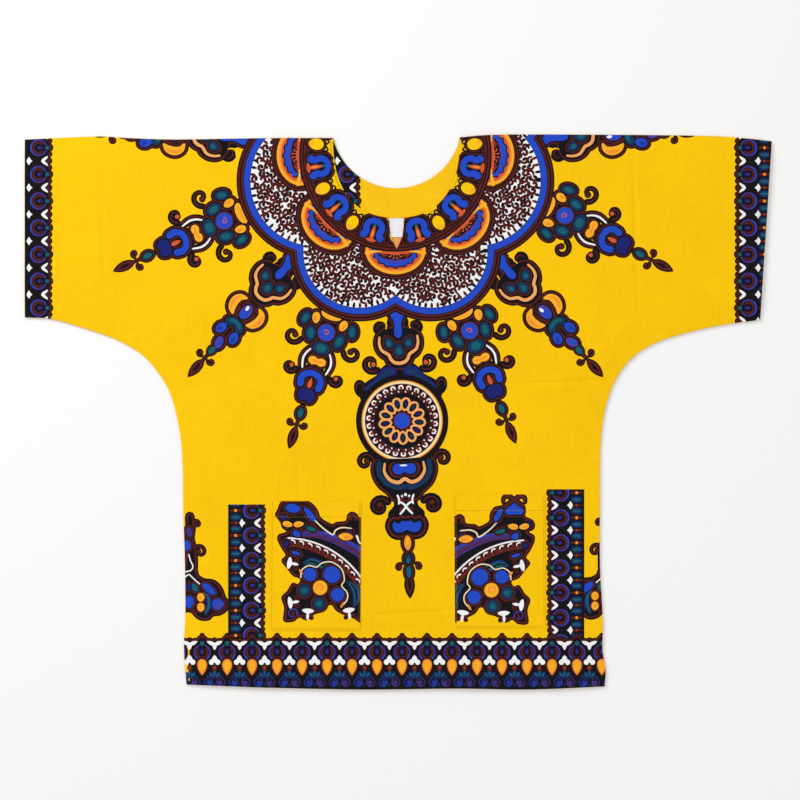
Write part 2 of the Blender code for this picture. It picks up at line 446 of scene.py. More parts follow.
def diagonal_pendant() -> Draft:
    """The palmette pendant that hangs from a corner of the yoke.

    Returns:
        The drawing.
    """
    art = palmette()
    art.add(seed(0, 150, 92, 34, 90, 0.3, 0.2, 30), BLACK, OUTER)
    art.rim(seed(0, 125.5, 24, 15.5, 90), Ink.VIOLET)
    art.add(seed(0, 128, 18, 12, 90), BLUE)
    art.top(seed(-2, 120, 8, 4.5, 80, n=12), WHITE)
    for side in (-1, 1):
        path = smooth([
            (side * 13, 110), (side * 20, 114), (side * 23, 123), (side * 20, 133), (side * 14, 139)
        ])
        art.rim(ribbon(path, 4, 4, 12.5), AMBER)
        art.add(ribbon(path[3:-3] + [side * 1.5, 0], 1.6, 1.6, 4.8), ORANGE)
        art.rim(seed(side * 12, 166, 18, 13, 90 - side * 14), BLUE)
        art.add(seed(side * 13, 168, 9, 6, 90 - side * 14, n=12), Ink.INDIGO)
    fan = even([(0.1, 141), (7, 142), (14, 147), (15, 154), (9, 157), (0.1, 152)])
    art.rim(fan, DEEP)
    art.add(even([(0.1, 143), (6, 144), (11, 148), (10, 151), (0.1, 147.5)]), TEAL)
    art.rim(seed(0, 184, 19, 12, 70), Ink.VIOLET)
    art.add(seed(1, 184, 12, 6.5, 70, n=14), BLUE)
    art.rim(seed(0, 200, 12.5, 8.5, 90, 0.4), TEAL, FINE)
    art.join(tip(213))
    return art


def pillow(x: float, y: float, length: float, width: float, turn: float) -> Draft:
    """A round teal seed with a lighter middle, in the print's outlines.

    Args:
        x: its place across.
        y: its place down.
        length: its size along its axis.
        width: its size across.
        turn: the axis's angle.

    Returns:
        The drawing.
    """
    art = Draft()
    art.rim(seed(x, y, length, width, turn, n=24), DEEP)
    return art.add(seed(x, y, length * 0.62, width * 0.56, turn, n=16), TEAL)


def rosette_pendant() -> Draft:
    """The pendant with a round flower, a white-lined neck, a horseshoe and a heart.

    Returns:
        The drawing.
    """
    art = Draft()
    art.add(disc(0, 38, 25, 30), BLACK, OUTER)
    art.add(seed(0, 110, 62, 30, 90, 0.2, 0.2, 30), BLACK, OUTER)
    bowl = even([(0.1, 12), (9, 11.5), (16, 14), (13.5, 20), (7, 23), (0.1, 23.6)])
    art.rim(bowl, AMBER)
    art.add(seed(0, 15.6, 20, 3.2, 0, n=14), ORANGE)
    art.join(pillow(0, 66.5, 19, 26, 90))
    for side in (-1, 1):
        art.rim(seed(side * 20.6, 26.4, 16.5, 11.5, 90 + side * 12, 0.2), AMBER)
        art.add(seed(side * 22, 27.4, 9, 4, 90 + side * 12, n=12), ORANGE)
        art.join(pillow(side * 35.5, 31, 21, 13.5, 90 - side * 14))
        art.join(pillow(side * 21.5, 50, 23, 15.5, 90 + side * 10))
        neck = smooth([(side * 15.5, 72), (side * 20, 80), (side * 21.5, 89), (side * 18.8, 101)], 3)
        art.add(ribbon(neck, 13, 12, 13.5), BLACK, OUTER)
        art.add(ribbon(neck + [side * 3.6, 0], 2.0, 2.0), BROWN, LINE)
        art.top(ribbon(neck - [side * 0.8, 0], 2.2, 2.4, 3.0), WHITE)
    art.rings(0, 43, 26, ACCENT, (15.2, BLACK), (13.6, BROWN), (11.8, BLUE))
    art.top(ribbon(spiral(0, 43, 4.8, 200, 330, n=12), 1.4, 1.8), Ink.EMBER)
    art.join(curl(45, 60, 13.2, 170, -330, 8.0, BROWN).paired())
    art.join(curl(35.5, 104, 10.0, 170, -310, 8.4).paired())
    bean = even([(0.1, 83), (6, 80.5), (12, 83), (12.5, 89), (7, 92.5), (0.1, 91)])
    art.rim(bean, AMBER, FINE)
    art.add(ribbon(smooth([(-8, 86), (0, 87.6), (8, 86)]), 1.6, 1.6, 3.4), ORANGE)
    arch = smooth([
        (-13.5, 124), (-14.6, 115), (-9.4, 107.6), (0, 105), (9.4, 107.6), (14.6, 115), (13.5, 124)
    ])
    art.rim(ribbon(arch, 10, 10, 9), BLUE)
    art.top(seed(0, 118.5, 19, 11, 90, n=20), BLACK)
    art.top(seed(0, 119.5, 15, 6.5, -90, 0.6), Ink.EMBER)
    heart = even([(0.1, 128), (5, 128.4), (11, 131.5), (12.8, 138), (10, 145.4), (4.6, 147.2), (0.1, 144.4)])
    art.rim(heart, NAVY)
    art.rim(seed(0, 165, 15, 8.5, 90, 0.5, 0.5), TEAL)
    art.add(ribbon(smooth([(0, 146), (0, 152), (0, 157)], 3), 8, 8), BLACK, OUTER)
    art.join(tip(181))
    return art


def beads(count: int, radius: float) -> Draft:
    """A ring of white commas on dark brown, curled round a centre.

    Args:
        count: how many commas.
        radius: the ring's size.

    Returns:
        The drawing.
    """
    art = Draft()
    for index in range(count):
        bead = Draft()
        bead.add(disc(0, radius, 5.4, 14), Ink.MAROON, FILL)
        path = spiral(0, radius + 0.6, 3.4, 200, -250, 0.3, 10)
        bead.add(ribbon(path, 1.8, 1.2, 2.2), WHITE)
        bead.add(disc(-0.4, radius - 0.2, 1.6, 8), Ink.RUST)
        bead.add(seed(3.4, radius - 5.0, 3.2, 1.8, 60, n=8), WHITE)
        bead.add(seed(-3.0, radius + 4.8, 3.0, 1.6, 60, n=8), Ink.RUST)
        art.join(bead.moved(turn=360 * index / count))
    return art


def medallion() -> Draft:
    """The round rosette: rings of black, cream and white, a ring of commas and thirteen petals.

    Returns:
        The drawing.
    """
    art = Draft()
    art.rings(
        0, 0, 64, LINE, (67, BLACK), (59.8, BROWN), (58.6, AMBER), (56.8, Ink.CREAM),
        (54.0, BROWN), (52.8, BLACK), (42, Ink.MAROON), (40.4, BLACK),
    )
    art.join(beads(26, 47.4))
    for index in range(13):
        petal = Draft()
        petal.add(seed(0, 24.5, 20.5, 15.5, 90, 0.1, 0.35), Ink.PEACH, FILL)
        petal.add(seed(0, 24.6, 14.5, 8.4, 90, 0.2, 0.4), BLACK)
        petal.top(seed(0, 25.4, 8.5, 3.8, 90, n=10), NAVY if index % 2 else DEEP)
        art.join(petal.moved(turn=360 * index / 13))
    return art.rings(0, 0, 28, ACCENT, (14.6, BLACK), (13.2, BROWN), (11, BLUE))


def centre_pendant() -> Draft:
    """The long pendant down the middle, with the medallion in it.

    Returns:
        The drawing.
    """
    art = palmette()
    art.join(curl(41, 95, 13.2, 130, -340, 9.2).paired())
    cape = even([(0.1, 104), (16, 100), (24, 104), (33, 115), (48, 124), (57, 133), (50, 150), (0.1, 150)], 3)
    art.add(grown(cape, 3), BLACK, OUTER)
    fold = smooth([(12, 108), (20, 109), (31, 119), (50, 132)], 3)
    for side in (-1, 1):
        art.add(ribbon(fold * [side, 1], 15, 6, 12), NAVY, LINE)
        art.add(ribbon((fold + [0, 1]) * [side, 1], 7, 2, 5), DEEP, INNER)
        art.add(seed(side * 58, 131, 27, 19, 90 + side * 14), BLACK, OUTER)
        art.add(
            ribbon(spiral(side * 59, 128, 6.2, 90 - side * 60, -side * 250, 0.2, 14), 1.8, 1.8), BROWN, LINE
        )
    art.join(medallion().moved(y=180, lift=1))
    art.join(curl(56, 237, 13.0, -180, 390, 8.4, BROWN).paired())
    bowl = even([(0.1, 234), (36, 234), (45, 243), (45, 257), (38, 272), (25, 284), (18, 293), (0.1, 296)], 3)
    art.edge(bowl, 3.5, 1.4, -0.6)
    hoop = smooth(
        [
            (-36, 240), (-37, 254), (-28, 268), (-12, 276), (0, 275), (12, 276), (28, 268), (37, 254),
            (36, 240),
        ],
        3,
    )
    art.add(ribbon(hoop, 7, 7), DEEP, INNER)
    smile = smooth(
        [(-28, 241), (-29, 253), (-21, 265), (-9, 269), (0, 264), (9, 269), (21, 265), (29, 253), (28, 241)],
        3,
    )
    art.add(ribbon(smile, 3.0, 3.0, 5.4), Ink.PEACH)
    smile_in = even([(0.1, 240), (18, 240), (23, 248), (19, 259), (9, 262), (0.1, 258)], 3)
    art.add(smile_in, BROWN)
    bow = even([(0.1, 243), (12, 242), (17, 248), (15, 255), (8, 257.5), (0.1, 254)])
    art.add(grown(bow, 2.2), BLACK)
    art.top(bow, BLUE)
    art.top(seed(-1, 244.5, 11, 2.6, 0, n=12), WHITE)
    art.join(curl(38, 303, 13.5, -150, 420, 10.0, BROWN).paired())
    neck = even([(0.1, 290), (16, 292), (18, 303), (26, 312), (24, 322), (0.1, 324)], 3)
    art.add(neck, BLACK, OUTER)
    for side in (-1, 1):
        art.top(
            ribbon(smooth([(side * 11.5, 288), (side * 9.6, 294), (side * 10.4, 300)], 2), 3.0, 2.4), WHITE
        )
        art.top(ribbon(smooth([(side * 10, 297), (side * 4.5, 299.5), (0, 304)], 2), 2.6, 3.2), WHITE)
        art.top(ribbon(smooth([(0, 304), (side * 3.4, 309), (side * 8.6, 314.5)], 2), 3.0, 2.8), WHITE)
        art.top(disc(side * 5.2, 289, 1.7, 9), WHITE)
        art.add(seed(side * 5, 293, 9, 5, 75 * side, 0.4), BROWN)
        art.add(seed(side * 7, 308, 7, 5, 60 * side), BROWN)
    art.top(disc(0, 287, 2.2, 10), WHITE)
    cloud = even([(0.1, 326), (7, 325), (11, 329), (18, 326), (21, 332), (17, 340), (9, 341.5), (0.1, 338)])
    art.rim(cloud, BLUE, Rims(11, 7.5, 4.5))
    art.rim(seed(0, 357, 22, 10.5, 90, 0.3, 0.3), ORANGE)
    art.add(seed(0, 354, 13, 5.6, 90, n=14), AMBER)
    art.rim(seed(0, 380, 14, 9.5, 90), DEEP)
    art.rim(seed(0, 399, 18, 7.5, 90, 0.3, 0.3), TEAL)
    art.add(seed(0, 383, 9, 5, 90, n=12), TEAL)
    art.join(curl(13.5, 392, 5.5, -120, 330, 5.2, BROWN).paired())
    leaf = seed(0, 419, 34, 13, 90, 0.9, 0.6)
    art.add(grown(leaf, 1.4), BLACK, OUTER)
    art.add(grown(leaf, -1.8), BROWN, LINE)
    art.add(grown(leaf, -4.2), BLACK, LINE)
    return art


@dataclass(frozen=True)
class Lobe:
    """One scallop of the yoke: its circle's middle from the shoulder fold's middle, and its radius."""

    x: float
    y: float
    radius: float


LOBES = tuple(
    Lobe(side * x, end * y, radius)
    for x, y, radius in ((115.5, 61.0, 104.0), (52.0, 163.6, 90.6))
    for side in (-1, 1)
    for end in (-1, 1)
)
YOKE_RING = 137.3
SHOE_RING = 110.0


def petal() -> Draft:
    """A half medallion on the yoke's ring: amber rim, wavy blue and violet band, small curls.

    Returns:
        The drawing.
    """
    art = Draft()
    ring = YOKE_RING
    for side in (-1, 1):
        corner = smooth([(side * 20, ring + 1.5), (side * 33, ring + 2.2), (side * 41, ring + 4)], 3)
        art.add(ribbon(corner, 1.0, 7.0), AMBER)
    bands = (
        (52.5, 43.0, BLACK), (50.6, 41.2, BROWN), (48.4, 39.2, BLACK), (46.4, 37.4, BROWN),
        (44.6, 35.8, BLACK), (43.4, 34.8, AMBER), (40.6, 31.6, ORANGE), (38.4, 28.6, Ink.EMBER),
    )
    for across, out, ink in bands:
        art.add(seed(0, ring, 2 * across, 2 * out, 0, n=48), ink, FILL)
    t = np.linspace(0, 2 * math.pi, 96, endpoint=False)
    wave = 1 + 0.045 * np.cos(16 * t)
    ripple = 1 + 0.06 * np.cos(12 * t)
    plain = np.ones_like(t)
    crescent = (
        (33.5, 25.8, wave, BLACK), (31.6, 23.8, wave, BLUE), (27.6, 17.5, ripple, Ink.VIOLET),
        (25.4, 14.2, ripple, BLACK), (24.2, 12.6, plain, Ink.EMBER),
    )
    for across, out, swing, ink in crescent:
        shape = np.column_stack([across * swing * np.cos(t), ring + out * swing * np.sin(t)])
        art.add(shape, ink, FILL)
    for side in (-1, 1):
        art.add(seed(side * 27.5, ring + 7.0, 11, 8.0, 80, n=20), BLACK, FILL)
        art.add(seed(side * 27.2, ring + 8.4, 9.5, 6.0, 80, n=18), BLUE, FILL)
        path = spiral(side * 8.5, ring + 8.2, 4.6, 90 + side * 90, -side * 330, n=16)
        art.add(ribbon(path, 3.2, 2.4), BLACK)
        hook = smooth(
            [(side * 13, ring + 9), (side * 18, ring + 10.5), (side * 22, ring + 7), (side * 19, ring + 5)],
            2,
        )
        art.add(ribbon(hook, 2.6, 1.8), BLACK)
        art.add(seed(side * 15.5, ring + 6.6, 8, 2.8, side * 12, n=10), BROWN)
    art.add(seed(0, ring + 9.5, 6.5, 3.6, 90, n=12), BLACK)
    return art


def horseshoe() -> Draft:
    """One cell of the neckline row: a blue horseshoe with an ember tongue between its round feet.

    Returns:
        The drawing.
    """
    art = Draft()
    r = SHOE_RING
    cell = even([
        (0.1, r - 20), (5, r - 17.5), (9, r - 19.5), (14, r - 17), (19, r - 12), (19.5, r), (20.5, r + 12),
        (21, r + 18), (0.1, r + 20),
    ])
    art.add(grown(cell, 1.2), BLACK, INNER)
    art.add(grown(cell, -0.6), BROWN, INNER)
    art.add(grown(cell, -2.0), BLACK, INNER)
    arch = smooth(
        [
            (
                -12.2, r + 12
            ), (-9.8, r + 6), (-11.4, r), (-10.0, r - 6), (-5.6, r - 9.8), (0, r - 11.6), (5.6, r - 9.8),
            (10.0, r - 6), (11.4, r), (9.8, r + 6), (12.2, r + 12),
        ],
        2.0,
    )
    art.add(ribbon(arch, 10.4, 10.4, 8.4), BLUE, FILL)
    for side in (-1, 1):
        art.add(disc(side * 12.4, r + 11.6, 5.2, 16), BLUE, FILL)
    art.add(seed(0, r - 3, 9, 4.2, 90, n=12), TEAL)
    art.add(seed(0, r + 7, 20, 6.2, -90, 0.4), Ink.EMBER)
    art.add(seed(0, r + 17.3, 15, 5.6, 0, 0.4, 0.4), Ink.EMBER)
    art.top(seed(0, r + 8, 11, 2.4, -90, n=10), ORANGE)
    return art


def yellow_seed() -> Draft:
    """The oval seed between two horseshoes, with the ground's scallop on its inner side.

    Returns:
        The drawing.
    """
    art = Draft()
    for grow, ink in ((4.6, BLACK), (3.0, BROWN), (1.6, BLACK), (0, Ink.GROUND)):
        art.add(seed(0, 116, 22 + 2 * grow, 16.5 + 2 * grow, 90, 0.15, n=28), ink, FILL)
    art.add(seed(0, 122.5, 6.5, 9.5, 90, n=14), AMBER)
    for side in (-1, 1):
        edge = smooth([(side * 10, 104), (side * 6, 98), (side * 1.2, 101.5)], 2)
        art.add(ribbon(edge, 3.4, 2.2), BLACK, FILL)
    return art


def inside_lobes(x: float, y: float, margin: float) -> bool:
    """Whether a point is at least a margin inside the scalloped outline."""
    return any(math.hypot(x - lobe.x, y - lobe.y) < lobe.radius - margin for lobe in LOBES)


def tendrils(drop: float) -> Draft:
    """Brown curls that fill the white ground in staggered rows, seeded so that each run is alike.

    Args:
        drop: how far the rows' middle lies below the shoulder fold.

    Returns:
        The drawing.
    """
    art = Draft()
    chance = np.random.default_rng(7)
    for row, reach in enumerate(np.arange(146, 284, 8.4)):
        count = int(2 * math.pi * reach / 9.4)
        for index in range(count):
            angle = 2 * math.pi * (index + 0.5 * (row % 2)) / count
            wobble = chance.uniform(-1.2, 1.2, 2)
            hand = 1 if chance.random() < 0.5 else -1
            start = chance.uniform(0, 360)
            x = reach * math.sin(angle) + wobble[0]
            y = drop + reach * math.cos(angle) + wobble[1]
            if y < -12 or not inside_lobes(x, y, 16.0):
                continue
            path = spiral(x, y, 5.7, start, hand * chance.uniform(260, 330), 0.74, 11)
            art.add(ribbon(path, 3.0, 3.4, 4.3), Ink.MAROON, FILL)
            if (index + row) % 3:
                art.add(disc(*path[-1], 2.4, 9), BLACK)
    return art


def thorns() -> Draft:
    """Small dark points that stand on the inner side of the blue band.

    Returns:
        The drawing.
    """
    art = Draft()
    for lobe in LOBES:
        for angle in np.arange(0, 360, 6.4):
            reach = lobe.radius - 13.0
            x = lobe.x + reach * math.cos(math.radians(angle))
            y = lobe.y + reach * math.sin(math.radians(angle))
            if not inside_lobes(x, y, 14.0):
                art.add(
                    seed(x, y, 8.5, 4.4, angle + 180, 0.6, n=10), BROWN if int(angle) % 2 else BLACK, FILL
                )
    return art


def yoke(drop: float) -> Draft:
    """The scalloped collar: contour lines, blue band, tendrils on white, petals, ring and horseshoes.

    Args:
        drop: how far the ring's middle lies below the shoulder fold.

    Returns:
        The drawing, from the fold's middle.
    """
    levels = (
        (10.8, BLACK), (8.6, BROWN), (6.4, BLACK), (4.0, BROWN), (1.4, BLACK), (0.2, BLUE),
        (-8.6, NAVY), (-9.4, WHITE),
    )
    art = Draft()
    for level, (grow, ink) in enumerate(levels):
        for lobe in LOBES:
            art.add(disc(lobe.x, lobe.y, lobe.radius + grow, 110), ink, level)
    top = len(levels)
    art.join(tendrils(drop).moved(lift=top))
    art.join(thorns().moved(lift=top))
    for index in range(8):
        art.join(petal().moved(0, drop, 45 * index, lift=top + 6))
    ring = top + 14
    rings = (
        (139.6, BLACK), (137.2, BROWN), (134.6, BLACK), (132.6, BROWN),
        (129.2, BLACK), (127.8, BROWN), (125.4, BLACK), (113.0, Ink.GROUND),
    )
    for radius, ink in rings:
        art.add(disc(0, drop, radius, 120), ink, ring)
        ring += 1
    for index in range(11):
        art.join(horseshoe().moved(0, drop, 360 * (index + 0.5) / 11, lift=ring))
        art.join(yellow_seed().moved(0, drop, 360 * index / 11, lift=ring + 6))
    return art


def ring_bead() -> Draft:
    """The chain's round link: a dark violet ring, a brown crescent open at the top and a dark middle.

    Returns:
        The drawing.
    """
    art = Draft().rings(0, 0, 28, FILL, (16.0, BLACK), (12.6, Ink.PLUM), (9.8, BLACK))
    art.add(ribbon(spiral(0, 0, 11.2, 200, 140, 0.02, 14), 1.0, 1.0, 2.2), BLUE)
    art.add(ribbon(spiral(0, 0, 7.6, 135, 270, 0.02, 18), 1.8, 1.8, 2.8), BROWN)
    art.add(seed(0, 2.2, 8.5, 5.6, 90, 0.2, n=14), NAVY)
    art.top(disc(0, 0.6, 1.8, 9), Ink.PLUM)
    return art


def rung(y: float, pitch: float) -> Draft:
    """One pitch of the ladder: a brown bar with an orange dot, and teal pillows either side of a small one.

    Args:
        y: where the pitch begins.
        pitch: its length.

    Returns:
        The drawing, centred on x = -11.
    """
    art = Draft()
    for step in (0.27, 0.73):
        art.add(seed(-11, y + step * pitch, 16.5, 9.6, 0, n=16), NAVY, FILL)
        art.add(seed(-11, y + step * pitch, 14.5, 7.6, 0, n=16), DEEP)
        art.add(seed(-11, y + step * pitch, 12, 3.8, 0, n=12), TEAL)
    art.add(seed(-11, y, 18.5, 4.2, 0, 0.3, 0.3, 14), BROWN)
    art.add(seed(-11, y + pitch / 2, 18.5, 3.0, 0, 0.3, 0.3, 14), BROWN)
    art.top(disc(-11, y, 2.1, 10), ORANGE)
    art.top(disc(-11, y + pitch / 2, 1.6, 8), Ink.RUST)
    return art


def chain(length: float, pitch: float, ladder: bool, first: float = 8.7) -> Draft:
    """A column of round links with white notches between them and a scalloped edge on the right.

    Args:
        length: the column's length.
        pitch: from link to link.
        ladder: whether a ladder of teal pillows runs down the straight side.
        first: where the first link's middle lies.

    Returns:
        The drawing, from the column's left edge at x = 0 and its top at y = 0.
    """
    art = Draft()
    left = -22 if ladder else -9
    art.add(np.array([(left, 0), (28.5, 0), (28.5, length), (left, length)], float), BLACK, OUTER)
    for index in range(-1, math.ceil(length / pitch) + 1):
        y = first + index * pitch
        for step, reach, out in ((0, 6.4, 27), (0.25, 4.6, 27.5), (0.5, 5.6, 26.5), (0.75, 4.6, 27.5)):
            bump = y + step * pitch
            art.add(disc(out, bump, reach, 18), BLACK, OUTER)
            art.add(disc(out - 0.3, bump, reach - 1.7, 16), BROWN, LINE)
            art.add(disc(out - 1.0, bump, reach - 3.0, 14), BLACK, INNER)
        art.join(ring_bead().moved(12.0, y, -90))
        art.add(disc(24.2, y, 4.4, 14), BLACK)
        art.top(disc(24.6, y, 3.0, 12), TEAL)
        half = y + pitch / 2
        diamond = np.array([
            (0, -6.2), (2.4, -2.4), (5.2, 0), (2.4, 2.4), (0, 6.2), (-2.2, 2.8), (-3.4, 0), (-2.2, -2.8)
        ])
        art.top(diamond + [-2.0, half], WHITE)
        for side in (-1, 1):
            notch = smooth([(17.5, half), (20.8, half + side * 2.8), (24.8, half + side * 6.2)], 1.6)
            art.top(ribbon(notch, 3.6, 1.8, 4.2), WHITE)
        art.top(seed(24.8, half, 8.0, 5.4, 180, 0.4, n=12), BLACK)
        art.top(seed(25.4, half, 4.4, 2.8, 180, 0.4, n=9), BROWN)
        if ladder:
            art.join(rung(y, pitch))
    cut = np.array([(-26, -60), (40, -60), (40, 0), (-26, 0)], float)
    art.add(cut, Ink.GROUND, ACCENT + 1)
    return art


def scalloped_top() -> Draft:
    """The hem band's upper edge over one link: a raised middle lobe and two lower ones.

    Returns:
        The drawing.
    """
    art = Draft()
    for x, y, reach in (
        (0, 68, 9.5), (-10.5, 66, 7.0), (10.5, 66, 7.0), (-18.1, 68.5, 5.2), (18.1, 68.5, 5.2), (0, 76, 4.2)
    ):
        art.add(disc(x, y, reach, 20), BLACK, OUTER)
        art.add(disc(x, y - 0.3, reach - 1.8, 18), BROWN, LINE)
        art.add(disc(x, y - 0.9, reach - 3.2, 16), BLACK, INNER)
    return art


def spandrel() -> Draft:
    """What fills the band between two links: white trefoil and spade, a brown bud, a teal fan and two balls.

    Returns:
        The drawing.
    """
    art = Draft()
    art.top(seed(0, 60.5, 11, 6.4, -90, 0.7, n=14), WHITE)
    for side in (-1, 1):
        art.top(seed(side * 5.4, 65.2, 12.5, 5.6, side * 24 + (180 if side < 0 else 0), 0.5, n=14), WHITE)
        art.top(disc(side * 4.4, 37.6, 3.9, 14), WHITE)
    art.top(seed(0, 42, 11.5, 8.4, 90, 0.6, n=16), WHITE)
    art.top(disc(0, 36.4, 3.4, 12), WHITE)
    art.top(seed(0, 33.4, 7.5, 4.6, 90, 0.3, n=12), BLACK)
    art.top(seed(0, 29.6, 8.5, 7.4, 90, 0.3, n=14), BROWN)
    art.top(seed(0, 29.4, 4.2, 3.2, 90, n=10), Ink.RUST)
    for turn in (-72, -36, 0, 36, 72):
        rib = seed(0, 7.6, 11.5, 6.4, 90, n=14)
        art.add(turned(rib, turn) + [0, 12.5], NAVY if turn % 72 else DEEP)
        art.add(turned(seed(0, 8.6, 7, 2.8, 90, n=10), turn) + [0, 12.5], TEAL)
    for side in (-1, 1):
        art.add(disc(side * 9.0, 8.4, 8.2, 18), BLACK)
        art.top(disc(side * 9.0, 8.4, 6.4, 18), Ink.INDIGO if side > 0 else Ink.PLUM)
        art.top(
            ribbon(spiral(side * 9, 8.4, 4.2, 90 + side * 60, -side * 230, 0.1, 12), 1.6, 1.2, 3.0), BLACK
        )
    art.top(seed(0, 5.6, 10, 6.4, 90, 0.4, n=12), BLACK)
    art.top(seed(0, 5.0, 5, 2.6, 90, 0.4, n=10), DEEP)
    return art


def hem_band(width: float, pitch: float) -> Draft:
    """The border along the hem, drawn upwards from y = 0 and centred on x = 0.

    Args:
        width: the band's length.
        pitch: from link to link.

    Returns:
        The drawing.
    """
    art = Draft()
    half = width / 2
    art.add(np.array([(-half, -6), (half, -6), (half, 66), (-half, 66)], float), BLACK, OUTER)
    count = round(width / pitch / 2) + 1
    for index in range(-count, count + 1):
        unit = scalloped_top()
        unit.join(ring_bead().moved(0, 51.5))
        unit.add(disc(0, 64.6, 4.8, 14), BLACK)
        unit.top(disc(0, 64.8, 3.4, 12), TEAL)
        drop = seed(0, 30.5, 23, 14, -90, 0.8, n=26)
        unit.add(grown(drop, 3.0), BLACK)
        unit.add(grown(drop, 1.5), BROWN)
        unit.top(drop, ORANGE)
        unit.top(seed(0, 31, 17, 9.6, -90, 0.8, n=20), AMBER)
        unit.join(spandrel().moved(pitch / 2))
        art.join(unit.moved(index * pitch))
    return art


def corner_motif(bud: bool) -> Draft:
    """The quarter medallion on a pocket: curved bands round a five-petalled flower, cut at the inner edge.

    Args:
        bud: whether the top outer corner ends in an onion-shaped bud, or in a plain leaf.

    Returns:
        The drawing, leftwards and upwards (y below 0) from the pocket's lower right corner.
    """
    art = Draft()
    crown = [
        (-52, -154), (-59, -160), (-63, -170), (-72, -180), (-86, -185), (-106, -185), (-116, -181),
        (-121, -170), (-124, -162), (-117, -152), (-114, -144), (-108, -138), (-119, -134), (-121, -127),
    ]
    if bud:
        crown = [
            (
                -52, -154
            ), (-56, -158), (-57, -168), (-63, -177), (-74, -180), (-80, -184), (-86, -188), (-97, -188),
            (-106, -182), (-109, -172), (-108, -164), (-118, -159), (-122, -152), (-120, -145), (-113, -141),
            (-121, -136), (-121, -127),
        ]
    base = smooth(
        [
            (10, -153), (-2, -158), (-6, -164), (
                -14, -167
            ), (-20, -162), (-22, -154), (-36, -152), (-41, -149), *crown,
            (
                -117, -118
            ), (-113, -111), (-109, -104), (-115, -96), (-107, -85), (-98, -74), (-88, -70), (-91, -62),
            (-99, -64), (-107, -52), (-115, -43), (-111, -28), (-112, -9), (-98, -8), (-89, -14), (-79, -10),
            (
                -68, -18
            ), (-56, -22), (-52, -26), (-46, -32), (-41, -31), (-36, -24), (-25, -18), (-14, -15), (10, -15),
        ],
        closed=True,
    )
    art.edge(base, 0.4, -1.6, -4.0)
    art.add(ribbon(spiral(-13, -158, 5.6, 40, -300, 0.6, 16), 1.8, 2.4), BROWN, FILL)
    # Bands, from the outermost in
    violet = smooth([(-84, -134), (-62, -134), (-40, -128), (-18, -118), (6, -104)], 3)
    art.add(ribbon(violet, 8, 16, 13), Ink.PLUM, FILL)
    art.add(ribbon(violet + [0, 3], 1.4, 2.6, 2.2), BROWN)
    art.add(ribbon(violet + [2, -3.6], 1.0, 2.2, 1.8), BLUE)
    middle = np.array([-110, 5])
    sweep = np.radians(np.linspace(-88, -30, 40))
    ray = np.column_stack([np.cos(sweep), np.sin(sweep)])
    art.add(ribbon(middle + 129 * ray, 15, 17), BROWN, FILL)
    art.add(ribbon(middle + 136.4 * ray, 2.0, 2.4), BLACK)
    art.add(ribbon(middle + 134.2 * ray, 2.2, 2.6), WHITE)
    art.add(ribbon(middle + 119.6 * ray, 2.4, 2.4), BLACK)
    for index in range(11):
        angle = math.radians(-84 + index * 5.6)
        x, y = middle + 128.6 * np.array([math.cos(angle), math.sin(angle)])
        path = spiral(x, y, 3.9, math.degrees(angle) + 40, 300, 0.7, 12)
        art.add(ribbon(path, 1.6, 2.2, 1.8), BLACK)
        hook = smooth([(x - 3.6, y - 3.4), (x + 0.4, y - 1.6), (x + 1.0, y + 1.6)], 1.6)
        art.top(ribbon(hook, 2.4, 1.4), WHITE)
        art.top(disc(x - 0.6, y + 5.0, 1.2, 8), Ink.RUST)
    # Teal swooshes beside the flower
    for path in (
        smooth([(-83, -92), (-72, -95), (-58, -90), (-44, -88)], 2.5),
        smooth([(-19, -66), (-9, -56), (-6, -42), (-10, -30)], 2.5),
    ):
        art.add(ribbon(path, 3, 3, 13), NAVY, FILL)
        art.add(ribbon(path, 1.4, 1.4, 8.5), TEAL)
        art.add(ribbon(path, 0.8, 0.8, 3.0), BLACK)
    # Flower
    heart = np.array([-59, -57])
    cream = smooth(
        [
            (-87, -72), (-86, -82), (-76, -89), (-64, -87), (-56, -93), (-42, -94), (-28, -84), (-24, -68),
            (-28, -60), (-20, -50), (-20, -40), (-27, -31),
        ],
        2.5,
    )
    art.top(ribbon(cream, 4.6, 4.6), BLACK)
    art.top(ribbon(cream, 1.8, 1.8), Ink.CREAM)
    petals = (
        (
            128, 24, 15, BLUE
        ), (48, 25, 19, BLUE), (-22, 27, 15, BLUE), (190, 23, 14, DEEP), (-94, 23, 14, DEEP),
    )
    for angle, reach, size, ink in petals:
        at = heart + reach * np.array([math.cos(math.radians(angle)), -math.sin(math.radians(angle))])
        leaf = seed(*at, size * 1.3, size * 1.3, 180 - angle, 0.15, n=24)
        art.add(grown(leaf, 4.6), BLACK)
        art.add(grown(leaf, 3.2), BROWN)
        art.add(grown(leaf, 1.2), BLACK)
        art.top(leaf, ink)
        if ink is DEEP:
            art.top(seed(*at, size * 0.7, size * 0.6, 180 - angle, 0.2, n=16), TEAL)
    art.rings(
        *heart, 26, ACCENT, (14.4, BLACK), (13.0, BROWN), (11.6, BLACK), (10.4, AMBER)
    )
    art.top(ribbon(spiral(*heart, 6.2, 160, 300, 0.6, 16), 2.2, 2.8), ORANGE)
